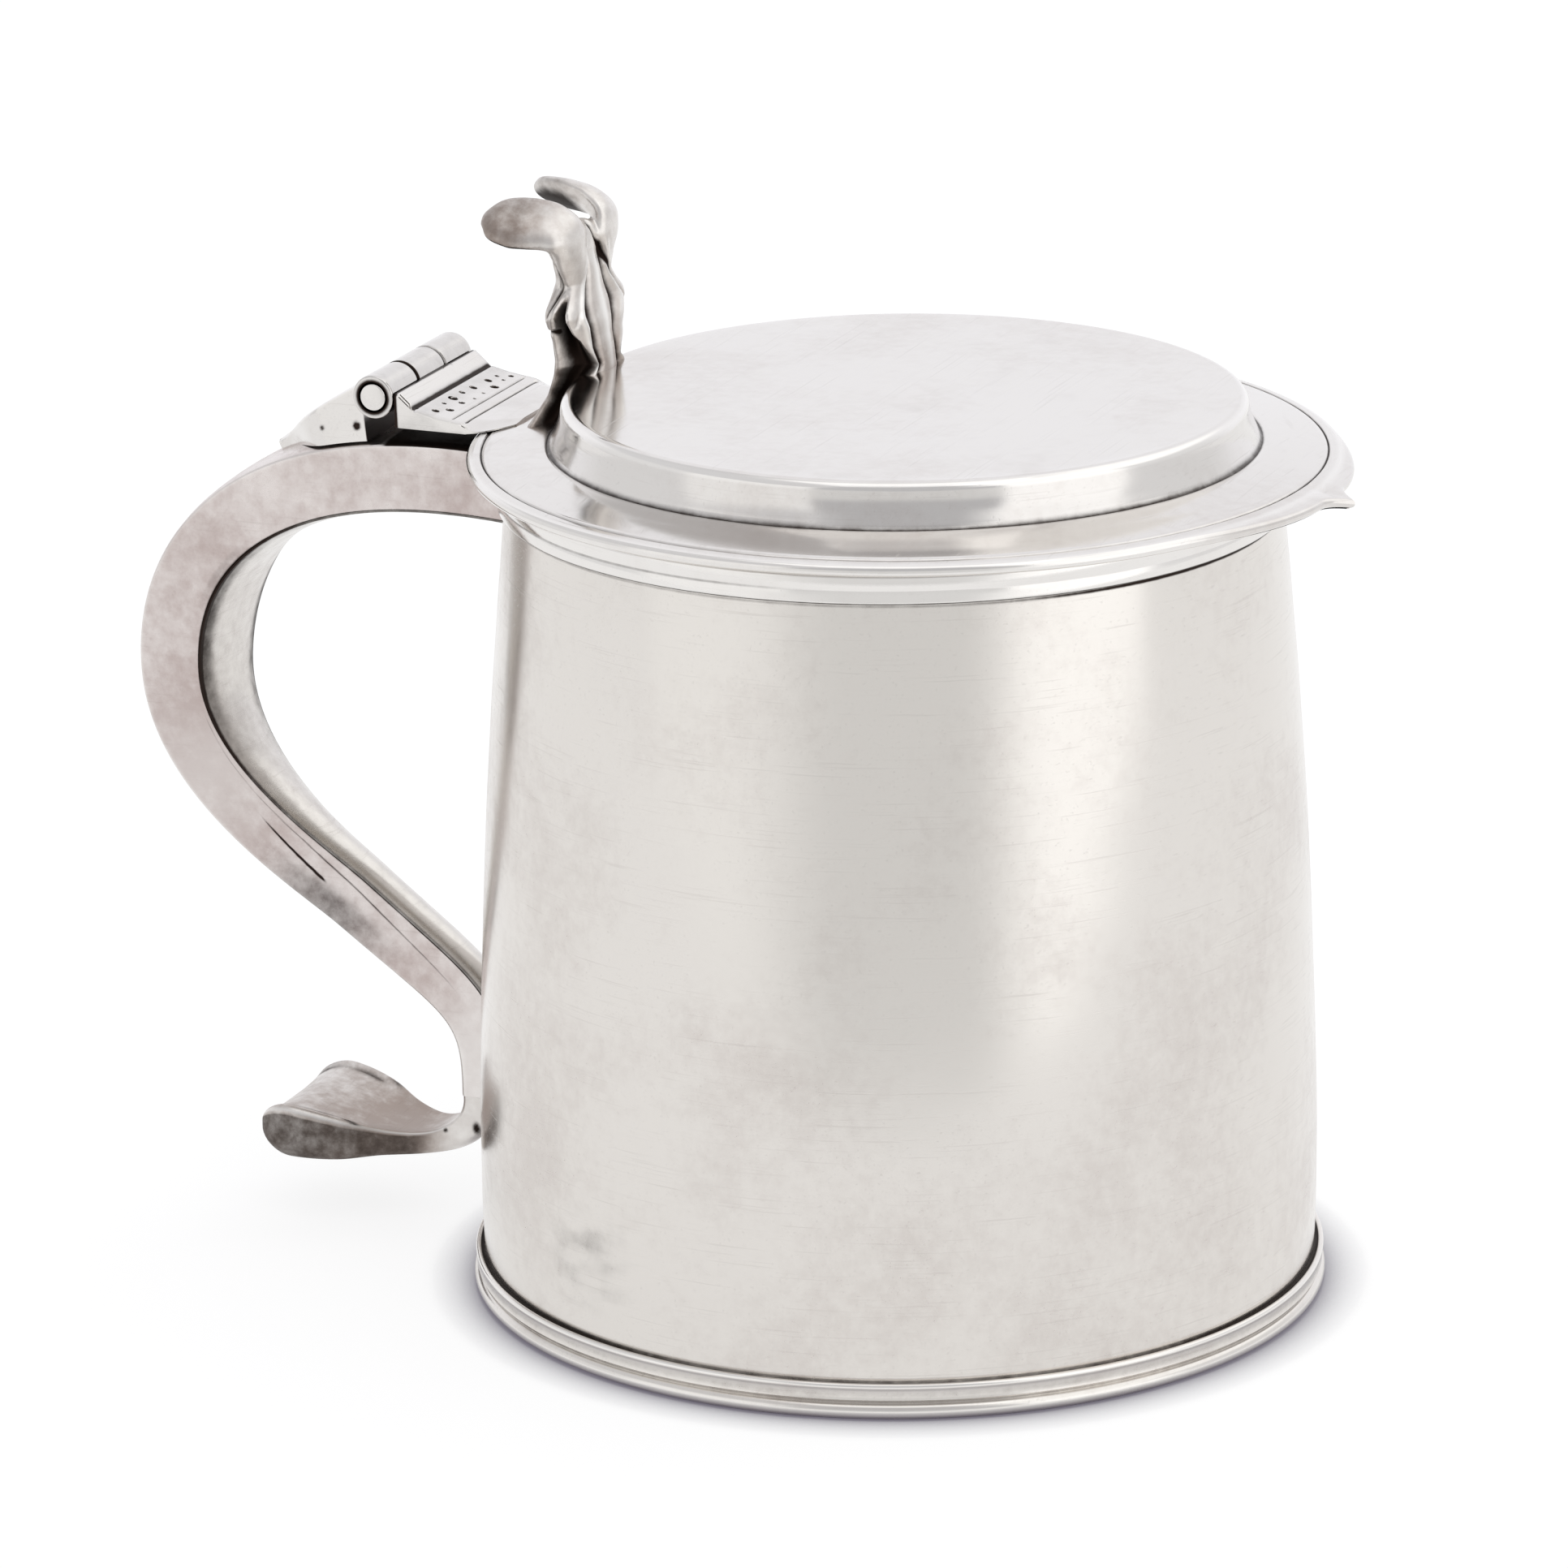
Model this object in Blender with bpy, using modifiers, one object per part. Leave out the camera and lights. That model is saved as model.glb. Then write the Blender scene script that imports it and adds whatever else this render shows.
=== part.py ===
"""Silver tankard with a hinged lid, as the separate pieces that it is soldered together from.

Metres, +Z up. The origin is the middle of the base on the table. The handle points to -X,
the lid's peak to +X, and the lid turns about a hinge that lies along Y.
"""

import math

import bmesh
import bpy
from mathutils import Matrix, Vector
from mathutils.geometry import interpolate_bezier

# Gaps
SEAM = 0.0003  # kept between pieces that are soldered together
RUN = 0.0004  # running clearance of the hinge

# Barrel: a tapered wall with a slight swell, fullest in its lower part
BODY_HEIGHT = 0.1217
BASE_RADIUS = 0.0604
RIM_RADIUS = 0.0554
SWELL = 0.0066
SWELL_SKEW = 0.7
WALL = 0.0013

# Base plate, set a little above the table
BASE_RECESS = 0.0008
BASE_THICKNESS = 0.0013

# Foot moulding: a hollowed band over a plain bead
FOOT_HEIGHT = 0.0054
FOOT_BEAD_HEIGHT = 0.0025
FOOT_PROJECTION = 0.0016

# Lip moulding
LIP_HEIGHT = 0.0043
LIP_PROJECTION = 0.0009

# Lid: a wide flange and a low flat crown, set a little forward of the barrel's axis
LID_SHIFT = 0.0017
FLANGE_OVERHANG = 0.0057  # past the lip moulding
FLANGE_THICKNESS = 0.0024  # at its edge
FLANGE_WIDTH = 0.0116
FLANGE_RISE = 0.0013  # from the edge up to the foot of the crown
FLANGE_LINE_INSET = 0.0027  # engraved line, in from the edge
FLANGE_LINE_DEPTH = 0.0003
FLANGE_LINE_WIDTH = 0.0005
CROWN_HEIGHT = 0.0071
CROWN_TAPER = 0.0024
CROWN_ROUND = 0.0014
LID_SHEET = 0.0013

# Peak: the point at the front of the flange, between two low lobes
PEAK_REACH = 0.0051
PEAK_HALF_WIDTH = 0.0046
PEAK_LOBE = 0.0022
PEAK_SPREAD = math.radians(34)
PEAK_THICKNESS = 0.0018

# Bezel: the ring under the lid that centres it in the mouth
BEZEL_CLEARANCE = 0.0010
BEZEL_THICKNESS = 0.0012
BEZEL_DEPTH = 0.0040

# Hinge
HINGE_STANDOFF = 0.0144  # axis behind the flange's edge
HINGE_RISE = 0.0072  # axis above the rim
HINGE_LENGTH = 0.0284
KNUCKLE_RADIUS = 0.0032
PIN_RADIUS = 0.0020
LID_PLATE_WIDTH = 0.0280
LID_PLATE_DROP = 0.0042  # underside below the hinge axis
LID_PLATE_LAP = 0.0054  # over the flange
LID_PLATE_END = 0.0009  # thickness where it ends on the flange

# Handle: a hollow scroll, its back line drawn from the mouth down to the terminal
HANDLE_DROP = 0.0008  # top of the handle below the rim
HANDLE_REACH = 0.1170
HANDLE_SHOULDER = 0.0387  # top of the handle down to its widest point
HANDLE_FOOT_Z = 0.0195
HANDLE_SLOPE_RUN = 0.0200  # from the foot out to the middle of the slope
HANDLE_SLOPE_RISE = 0.0247
HANDLE_WIDTH_TOP = 0.0210
HANDLE_WIDTH_FOOT = 0.0072
HANDLE_TAPER_START = 0.36  # shares of the handle's length between which it narrows
HANDLE_TAPER_END = 0.82
HANDLE_DEPTH_TOP = 0.0098
HANDLE_DEPTH_FOOT = 0.0072
HANDLE_SHEET = 0.0012
HANDLE_CROWN = 0.0006  # rise of the back's middle over its edges
HANDLE_CHAMFER = 0.0006
STRAP_EDGE = 0.0007
STRAP_CROWN = 0.0008  # swell of the strap's middle past its edges
STRAP_END = 0.93  # share of the handle's length that the strap runs down
VENT_RADIUS = 0.0009
VENT_RISE = 0.0060  # above the handle's lower end

# Handle hinge plate
HANDLE_PLATE_LENGTH = 0.0190  # along the handle's back
HANDLE_PLATE_TIP = 0.0010  # thickness at the tip
HANDLE_PLATE_FRONT = 0.0022  # front edge behind the hinge axis

# Terminal
TERMINAL_REACH = 0.0330  # from the neck's middle out to the tip
TERMINAL_DROP = 0.0080  # from the handle's end down to the neck's lowest middle
TERMINAL_LIFT = 0.0020  # tip's middle above that
TERMINAL_WIDTH = 0.0240
TERMINAL_THICKNESS = 0.0086
TERMINAL_WAIST = 0.0034
TERMINAL_NECK = 0.0056

# Thumbpiece
THUMB_BASE_DEPTH = 0.0044  # on the flange, behind the crown
THUMB_BASE_WIDTH = 0.0280
THUMB_STEM_WIDTH = 0.0168
THUMB_LEAF_HEIGHT = 0.0088  # leaf tips above the crown
THUMB_LEAF_WIDTH = 0.0210
THUMB_LEAF_DEPTH = 0.0072
THUMB_WAIST_HEIGHT = 0.0145
THUMB_WAIST_WIDTH = 0.0116
THUMB_WAIST_DEPTH = 0.0048
THUMB_TOE = 0.0034  # how far the front leaf laps over the crown's edge
LOBE_HEIGHT = 0.0222  # middle of the lobes above the crown
LOBE_BACK = 0.0060  # middle of the lobes behind the waist
LOBE_SPREAD = 0.0078  # middle of each lobe off the centre line
LOBE_HALF_LENGTH = 0.0069
LOBE_HALF_WIDTH = 0.0046
LOBE_HALF_HEIGHT = 0.0038
LOBE_ARM_RADIUS = 0.0026

# Facets
ROUND_STEPS = 64
BARREL_RINGS = 11
KNUCKLE_STEPS = 28
HANDLE_STEPS = 13
RING_POINTS = 14

SILVER = (0.80, 0.79, 0.77, 1.0)
TARNISHED = (0.66, 0.60, 0.60, 1.0)
DARK_SILVER = (0.45, 0.43, 0.42, 1.0)


def wall_radius(z):
    """Outside radius of the barrel at a height."""
    share = min(max(z / BODY_HEIGHT, 0.0), 1.0)
    taper = BASE_RADIUS + (RIM_RADIUS - BASE_RADIUS) * share
    return taper + SWELL * share**SWELL_SKEW * (1 - share)


# Sizes that follow from the ones above
LIP_BOTTOM = BODY_HEIGHT - LIP_HEIGHT
LIP_RADIUS = wall_radius(LIP_BOTTOM) + SEAM + LIP_PROJECTION
FLANGE_RADIUS = LIP_RADIUS + FLANGE_OVERHANG
FLANGE_BOTTOM = BODY_HEIGHT + SEAM
FLANGE_TOP = FLANGE_BOTTOM + FLANGE_THICKNESS
CROWN_FOOT_RADIUS = FLANGE_RADIUS - FLANGE_WIDTH
CROWN_FOOT_Z = FLANGE_TOP + FLANGE_RISE
CROWN_TOP_RADIUS = CROWN_FOOT_RADIUS - CROWN_TAPER
CROWN_TOP_Z = CROWN_FOOT_Z + CROWN_HEIGHT
HINGE = Vector((LID_SHIFT - FLANGE_RADIUS - HINGE_STANDOFF, 0, BODY_HEIGHT + HINGE_RISE))
KNUCKLE_LENGTH = HINGE_LENGTH / 3


def clear_scene():
    for old in list(bpy.data.objects):
        bpy.data.objects.remove(old, do_unlink=True)


def new_collection(name):
    group = bpy.data.collections.new(name)
    bpy.context.scene.collection.children.link(group)
    return group


def metal(name, colour, roughness):
    made = bpy.data.materials.new(name)
    made.use_nodes = True
    shader = made.node_tree.nodes["Principled BSDF"]
    shader.inputs["Base Color"].default_value = colour
    shader.inputs["Roughness"].default_value = roughness
    shader.inputs["Metallic"].default_value = 1.0
    return made


def add_part(name, mesh, colour=SILVER, roughness=0.25):
    part = bpy.data.objects.new(name, mesh)
    mesh.materials.append(metal(name, colour, roughness))
    PARTS.objects.link(part)
    return part


def add_cutter(name, mesh):
    tool = bpy.data.objects.new(name, mesh)
    tool.hide_render = True
    tool.display_type = "WIRE"
    CUTTERS.objects.link(tool)
    return tool


def boolean(part, tool, operation):
    step = part.modifiers.new(tool.name, "BOOLEAN")
    step.operation = operation
    step.object = tool
    step.solver = "EXACT"


def smooth(mesh):
    mesh.shade_smooth()
    mesh.set_sharp_from_angle(angle=math.radians(35))
    return mesh


def profile_mesh(name, points, closed):
    """An outline of (radius, height) points, running down its outer side."""
    mesh = bpy.data.meshes.new(name)
    edges = [(i, i + 1) for i in range(len(points) - 1)]
    if closed:
        edges.append((len(points) - 1, 0))
    mesh.from_pydata([(r, 0, z) for r, z in points], edges, [])
    return mesh


def spin(turned, steps=ROUND_STEPS):
    """Turns an outline about its own Z axis."""
    screw = turned.modifiers.new("turned", "SCREW")
    screw.axis = "Z"
    screw.angle = math.tau
    screw.steps = steps
    screw.render_steps = steps
    screw.use_merge_vertices = True
    screw.merge_threshold = 0.00001
    screw.use_smooth_shade = True
    return turned


def loft(name, rings):
    """A closed skin over rings of points that all have the same count."""
    build = bmesh.new()
    rows = [[build.verts.new(point) for point in ring] for ring in rings]
    for first, second in zip(rows, rows[1:]):
        for i in range(len(first)):
            j = (i + 1) % len(first)
            build.faces.new((first[i], first[j], second[j], second[i]))
    build.faces.new(rows[0])
    build.faces.new(rows[-1])
    bmesh.ops.recalc_face_normals(build, faces=build.faces)
    mesh = bpy.data.meshes.new(name)
    build.to_mesh(mesh)
    build.free()
    return smooth(mesh)


def slab(name, outline, thickness, frame):
    """A flat outline given a thickness about its own plane, as a mesh placed by frame."""
    curve = bpy.data.curves.new(name, "CURVE")
    curve.dimensions = "2D"
    curve.fill_mode = "BOTH"
    curve.extrude = thickness / 2
    line = curve.splines.new("POLY")
    line.points.add(len(outline) - 1)
    for point, (u, v) in zip(line.points, outline):
        point.co = (u, v, 0, 1)
    line.use_cyclic_u = True
    drawn = bpy.data.objects.new(name, curve)
    CUTTERS.objects.link(drawn)
    bpy.context.view_layer.update()
    drawn_now = drawn.evaluated_get(bpy.context.evaluated_depsgraph_get())
    mesh = bpy.data.meshes.new_from_object(drawn_now)
    bpy.data.objects.remove(drawn)
    build = bmesh.new()
    build.from_mesh(mesh)
    bmesh.ops.remove_doubles(build, verts=build.verts, dist=0.000001)
    bmesh.ops.transform(build, matrix=frame, verts=build.verts)
    bmesh.ops.recalc_face_normals(build, faces=build.faces)
    build.to_mesh(mesh)
    build.free()
    return smooth(mesh)


def arc(centre, radius, start, end, count):
    """Points of an arc from one angle to another, in degrees."""
    angles = [math.radians(start + (end - start) * i / (count - 1)) for i in range(count)]
    return [(centre[0] + radius * math.cos(a), centre[1] + radius * math.sin(a)) for a in angles]


def barrel_heights(low, high):
    return [low + (high - low) * i / (BARREL_RINGS - 1) for i in range(BARREL_RINGS)]


def make_barrel():
    heights = barrel_heights(BASE_RECESS, BODY_HEIGHT)
    outside = [(wall_radius(z), z) for z in reversed(heights)]
    inside = [(wall_radius(z) - WALL, z) for z in heights]
    spin(add_part("body_wall", profile_mesh("body_wall", outside + inside, True)))

    top = BASE_RECESS + BASE_THICKNESS
    radius = wall_radius(BASE_RECESS) - WALL - SEAM
    disc = [(0, top), (radius, top), (radius, BASE_RECESS), (0, BASE_RECESS)]
    spin(add_part("base_plate", profile_mesh("base_plate", disc, False)))


def make_foot():
    seat = wall_radius(FOOT_HEIGHT) + SEAM
    out = wall_radius(FOOT_HEIGHT) + FOOT_PROJECTION
    band = FOOT_HEIGHT - FOOT_BEAD_HEIGHT
    shallow = FOOT_PROJECTION * 0.15
    groove = FOOT_PROJECTION * 0.35
    profile = [
        (seat, FOOT_HEIGHT),
        (out - groove, FOOT_HEIGHT),
        (out - shallow / 2, FOOT_HEIGHT - band * 0.15),
        (out - shallow, FOOT_HEIGHT - band * 0.45),
        (out - shallow / 2, FOOT_HEIGHT - band * 0.85),
        (out - groove, FOOT_BEAD_HEIGHT),
        (out, FOOT_BEAD_HEIGHT * 0.8),
        (out, FOOT_BEAD_HEIGHT * 0.25),
        (out - shallow, 0),
        (wall_radius(0) + SEAM, 0),
    ]
    spin(add_part("foot_moulding", profile_mesh("foot_moulding", profile, True)))


def make_lip():
    middle = LIP_BOTTOM + LIP_HEIGHT * 0.45
    step = LIP_PROJECTION * 0.35
    profile = [
        (LIP_RADIUS - step, BODY_HEIGHT),
        (LIP_RADIUS, BODY_HEIGHT - LIP_HEIGHT * 0.12),
        (LIP_RADIUS, middle + LIP_HEIGHT * 0.05),
        (LIP_RADIUS - step, middle),
        (LIP_RADIUS - step / 3, middle - LIP_HEIGHT * 0.05),
        (LIP_RADIUS - step / 3, LIP_BOTTOM + LIP_HEIGHT * 0.08),
        (LIP_RADIUS - step, LIP_BOTTOM),
        (wall_radius(LIP_BOTTOM) + SEAM, LIP_BOTTOM),
        (wall_radius(BODY_HEIGHT) + SEAM, BODY_HEIGHT),
    ]
    spin(add_part("lip_moulding", profile_mesh("lip_moulding", profile, True)))


def flange_height(radius):
    """Top of the flange at a distance from the lid's own axis."""
    share = (FLANGE_RADIUS - radius) / FLANGE_WIDTH
    return FLANGE_TOP + FLANGE_RISE * share


def lid_outside(grow):
    """The lid's outside from the middle of its crown to under its edge, grown by a gap."""
    corner = (CROWN_TOP_RADIUS - CROWN_ROUND, CROWN_TOP_Z - CROWN_ROUND)
    roll = FLANGE_THICKNESS / 2
    edge = (FLANGE_RADIUS - roll, FLANGE_TOP - roll)
    points = [(0, CROWN_TOP_Z + grow)]
    points += arc(corner, CROWN_ROUND + grow, 90, 15, 5)
    points.append((CROWN_FOOT_RADIUS + grow, CROWN_FOOT_Z + grow))
    if not grow:
        line = FLANGE_RADIUS - FLANGE_LINE_INSET
        for offset, depth in ((-0.5, 0), (0, FLANGE_LINE_DEPTH), (0.5, 0)):
            r = line + offset * FLANGE_LINE_WIDTH
            points.append((r, flange_height(r) - depth))
    return points + arc(edge, roll + grow, 80, -90, 7)


def make_lid():
    hollow = CROWN_FOOT_RADIUS - LID_SHEET
    ceiling = CROWN_TOP_Z - LID_SHEET
    inside = [
        (hollow, FLANGE_BOTTOM),
        (hollow, CROWN_FOOT_Z - LID_SHEET),
        (CROWN_TOP_RADIUS - LID_SHEET, ceiling - CROWN_ROUND),
        (CROWN_TOP_RADIUS - LID_SHEET - CROWN_ROUND, ceiling),
        (0, ceiling),
    ]
    lid = spin(add_part("lid", profile_mesh("lid", lid_outside(0) + inside, False)))
    lid.location.x = LID_SHIFT
    boolean(lid, make_peak(), "UNION")

    ring = wall_radius(BODY_HEIGHT) - WALL - BEZEL_CLEARANCE
    top = FLANGE_BOTTOM - SEAM
    bezel = [(ring, top), (ring, top - BEZEL_DEPTH)]
    bezel += [(r - BEZEL_THICKNESS, z) for r, z in reversed(bezel)]
    return lid, spin(add_part("lid_bezel", profile_mesh("lid_bezel", bezel, True)))


def make_peak():
    """The front of the flange: it swells into two lobes and draws in to a point between them."""
    inner = FLANGE_RADIUS - FLANGE_THICKNESS * 2
    tip = FLANGE_RADIUS + PEAK_REACH
    notch = math.asin(PEAK_HALF_WIDTH / FLANGE_RADIUS)
    half = []
    swell_steps = 8
    for i in range(swell_steps + 1):
        share = i / swell_steps
        angle = PEAK_SPREAD + (notch - PEAK_SPREAD) * share
        radius = FLANGE_RADIUS - SEAM + (PEAK_LOBE + SEAM) * math.sin(share * math.pi / 2) ** 2
        half.append((radius * math.cos(angle), radius * math.sin(angle)))
    draw_steps = 5
    start = Vector(half[-1])
    for i in range(1, draw_steps):
        share = i / draw_steps
        x = start.x + (tip - start.x) * share**2
        half.append((x, start.y * (1 - share)))
    rear = [(inner * math.cos(a), inner * math.sin(a)) for a in (-PEAK_SPREAD, 0, PEAK_SPREAD)]
    outline = rear + half + [(tip, 0)] + [(x, -y) for x, y in reversed(half)]
    middle = FLANGE_BOTTOM + FLANGE_THICKNESS * 0.45
    frame = Matrix.Translation((LID_SHIFT, 0, middle))
    return add_cutter("peak", slab("peak", outline, PEAK_THICKNESS, frame))


def make_lid_clearance():
    """What the lid fills, with the seam gap round it."""
    outline = lid_outside(SEAM) + [(0, FLANGE_BOTTOM - SEAM)]
    tool = spin(add_cutter("lid_clearance", profile_mesh("lid_clearance", outline, False)))
    tool.location.x = LID_SHIFT
    return tool


def rod(name, radius, length):
    """A cutter along the hinge's axis."""
    half = length / 2
    outline = [(0, half), (radius, half), (radius, -half), (0, -half)]
    tool = spin(add_cutter(name, profile_mesh(name, outline, False)), KNUCKLE_STEPS)
    tool.rotation_euler.x = math.pi / 2
    tool.location = HINGE
    return tool


def make_knuckle(name, middle_y, length):
    bore = PIN_RADIUS + RUN
    half = length / 2
    chamfer = (KNUCKLE_RADIUS - bore) * 0.3
    ring = [
        (KNUCKLE_RADIUS - chamfer, half),
        (KNUCKLE_RADIUS, half - chamfer),
        (KNUCKLE_RADIUS, chamfer - half),
        (KNUCKLE_RADIUS - chamfer, -half),
        (bore, -half),
        (bore, half),
    ]
    knuckle = spin(add_part(name, profile_mesh(name, ring, True)), KNUCKLE_STEPS)
    knuckle.rotation_euler.x = math.pi / 2
    knuckle.location = HINGE + Vector((0, middle_y, 0))
    return knuckle


def make_hinge():
    outer_y = KNUCKLE_LENGTH
    make_knuckle("handle_knuckle_near", -outer_y, KNUCKLE_LENGTH - RUN)
    make_knuckle("handle_knuckle_far", outer_y, KNUCKLE_LENGTH - RUN)
    lid_knuckle = make_knuckle("lid_knuckle", 0, KNUCKLE_LENGTH - RUN)

    half = HINGE_LENGTH / 2
    dome = PIN_RADIUS * 0.12
    outline = [
        (0, half),
        (PIN_RADIUS * 0.8, half - dome / 2),
        (PIN_RADIUS, half - dome),
        (PIN_RADIUS, dome - half),
        (PIN_RADIUS * 0.8, dome / 2 - half),
        (0, -half),
    ]
    pin = profile_mesh("hinge_pin", outline, False)
    pin = spin(add_part("hinge_pin", pin, DARK_SILVER, 0.35), KNUCKLE_STEPS)
    pin.rotation_euler.x = math.pi / 2
    pin.location = HINGE
    return lid_knuckle


def make_lid_plate(lid_clearance):
    """The tapered plate between the lid's knuckle and its flange, drawn from the side."""
    flange_edge = LID_SHIFT - FLANGE_RADIUS
    end_x = flange_edge + LID_PLATE_LAP
    end_z = flange_height(FLANGE_RADIUS - LID_PLATE_LAP) + SEAM
    low = HINGE.z - LID_PLATE_DROP
    outline = [
        (HINGE.x + KNUCKLE_RADIUS * 0.8, low),
        (flange_edge, low),
        (end_x, min(low, end_z - LID_PLATE_END)),
        (end_x, end_z + LID_PLATE_END),
        (flange_edge, FLANGE_TOP + SEAM + LID_PLATE_END * 1.6),
        (HINGE.x + KNUCKLE_RADIUS * 2.0, HINGE.z - KNUCKLE_RADIUS * 0.4),
        (HINGE.x + KNUCKLE_RADIUS * 1.25, HINGE.z + KNUCKLE_RADIUS * 0.25),
        (HINGE.x + KNUCKLE_RADIUS * 0.8, HINGE.z + KNUCKLE_RADIUS * 0.2),
    ]
    upright = Matrix.Rotation(math.pi / 2, 4, "X")
    plate = add_part("lid_hinge_plate", slab("lid_hinge_plate", outline, LID_PLATE_WIDTH, upright))
    boolean(plate, rod("lid_plate_run", KNUCKLE_RADIUS + RUN, LID_PLATE_WIDTH * 2), "DIFFERENCE")
    boolean(plate, lid_clearance, "DIFFERENCE")
    return plate


def bezier_line(knots, steps):
    """Points along knots given as (place, handle before, handle after)."""
    points = [knots[0][0]]
    for (start, _, leave), (end, arrive, _) in zip(knots, knots[1:]):
        points += interpolate_bezier(start, leave, arrive, end, steps + 1)[1:]
    return points


def stations(points):
    """For each point of a line in the XZ plane: the point, its inward normal and its share of the length."""
    lengths = [0.0]
    for a, b in zip(points, points[1:]):
        lengths.append(lengths[-1] + (b - a).length)
    found = []
    for i, point in enumerate(points):
        along = (points[min(i + 1, len(points) - 1)] - points[max(i - 1, 0)]).normalized()
        found.append((point, Vector((-along.z, 0, along.x)), lengths[i] / lengths[-1]))
    return found


def handle_back():
    """The handle's back line, from inside the mouth's wall round to its lower end."""
    top = BODY_HEIGHT - HANDLE_DROP
    root = Vector((-wall_radius(top) + WALL, 0, top))
    wide = Vector((-HANDLE_REACH, 0, top - HANDLE_SHOULDER))
    foot_x = -wall_radius(HANDLE_FOOT_Z) - SEAM - HANDLE_DEPTH_FOOT
    foot = Vector((foot_x, 0, HANDLE_FOOT_Z))
    slope = foot + Vector((-HANDLE_SLOPE_RUN, 0, HANDLE_SLOPE_RISE))
    leave_root = Vector(((wide.x - root.x) * 0.79, 0, HANDLE_SHOULDER * 0.125))
    reach_wide = Vector((0, 0, HANDLE_SHOULDER * 0.48))
    leave_wide = Vector((0, 0, (slope.z - wide.z) * 0.56))
    lean = Vector((HANDLE_SLOPE_RUN * 0.91, 0, -HANDLE_SLOPE_RISE * 0.54))
    reach_foot = Vector((0, 0, HANDLE_SLOPE_RISE * 0.51))
    knots = [
        (root, root, root + leave_root),
        (wide, wide + reach_wide, wide + leave_wide),
        (slope, slope - lean / 3, slope + lean),
        (foot, foot + reach_foot, foot),
    ]
    return stations(bezier_line(knots, HANDLE_STEPS))


def ease(share, start, end):
    t = min(max((share - start) / (end - start), 0), 1)
    return t * t * (3 - 2 * t)


def handle_width(share):
    narrowing = ease(share, HANDLE_TAPER_START, HANDLE_TAPER_END)
    return HANDLE_WIDTH_TOP + (HANDLE_WIDTH_FOOT - HANDLE_WIDTH_TOP) * narrowing


def handle_depth(share):
    return HANDLE_DEPTH_TOP + (HANDLE_DEPTH_FOOT - HANDLE_DEPTH_TOP) * share**4


def section(station, corners):
    """A ring at a station from (sideways, inward) corners."""
    point, inward, _ = station
    return [point + Vector((0, side, 0)) + inward * depth for side, depth in corners]


def shell_corners(share):
    """The folded channel: a crowned back and two flat sides, open toward the barrel."""
    half = handle_width(share) / 2
    depth = handle_depth(share)
    room = half - HANDLE_SHEET
    right = [
        (half - HANDLE_CHAMFER, 0),
        (half, HANDLE_CHAMFER),
        (half, depth),
        (room, depth),
        (room, HANDLE_SHEET),
    ]
    return [(0, -HANDLE_CROWN)] + right + [(-side, inward) for side, inward in reversed(right)]


def strap_corners(share):
    """The strip that closes the channel, swelling toward the barrel."""
    half = handle_width(share) / 2
    near = handle_depth(share) + SEAM
    edge = near + STRAP_EDGE
    swell = [(half * 0.6, edge + STRAP_CROWN * 0.75), (0, edge + STRAP_CROWN)]
    right = [(half, near), (half, edge), swell[0]]
    return right + [swell[1]] + [(-side, inward) for side, inward in reversed(right)]


def make_handle(line):
    clearance = make_body_clearance()
    rings = [section(station, shell_corners(station[2])) for station in line]
    shell = add_part("handle_shell", loft("handle_shell", rings), TARNISHED, 0.32)
    boolean(shell, clearance, "DIFFERENCE")
    boolean(shell, make_vent(line), "DIFFERENCE")

    rings = [section(s, strap_corners(s[2])) for s in line if s[2] <= STRAP_END]
    strap = add_part("handle_inner_strap", loft("handle_inner_strap", rings), SILVER, 0.3)
    boolean(strap, clearance, "DIFFERENCE")


def make_body_clearance():
    """What the barrel and its lip moulding fill, with the seam gap round them."""
    low = LIP_BOTTOM - SEAM
    outline = [(0, BODY_HEIGHT + SEAM), (LIP_RADIUS + SEAM, BODY_HEIGHT + SEAM), (LIP_RADIUS + SEAM, low)]
    outline += [(wall_radius(z) + SEAM, z) for z in reversed(barrel_heights(0, low - SEAM))]
    outline.append((0, 0))
    return spin(add_cutter("body_clearance", profile_mesh("body_clearance", outline, False)))


def make_vent(line):
    """The small hole through the handle's back, near its lower end."""
    length = HANDLE_DEPTH_FOOT
    end = line[-1][0]
    outline = [(0, length / 2), (VENT_RADIUS, length / 2), (VENT_RADIUS, -length / 2), (0, -length / 2)]
    tool = spin(add_cutter("vent", profile_mesh("vent", outline, False)), RING_POINTS)
    tool.rotation_euler.y = math.pi / 2
    tool.location = end + Vector((0, 0, VENT_RISE))
    return tool


def station_at(line, share):
    """A station part of the way between two of the line's own."""
    for before, after in zip(line, line[1:]):
        if share <= after[2]:
            mix = (share - before[2]) / (after[2] - before[2])
            return before[0].lerp(after[0], mix), before[1].lerp(after[1], mix).normalized(), share
    return line[-1]


def share_behind(line, x):
    """The share of the line's length where it first passes a place behind the barrel."""
    for before, after in zip(line, line[1:]):
        if after[0].x <= x:
            mix = (before[0].x - x) / (before[0].x - after[0].x)
            return before[2] + (after[2] - before[2]) * mix
    return line[-1][2]


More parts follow.
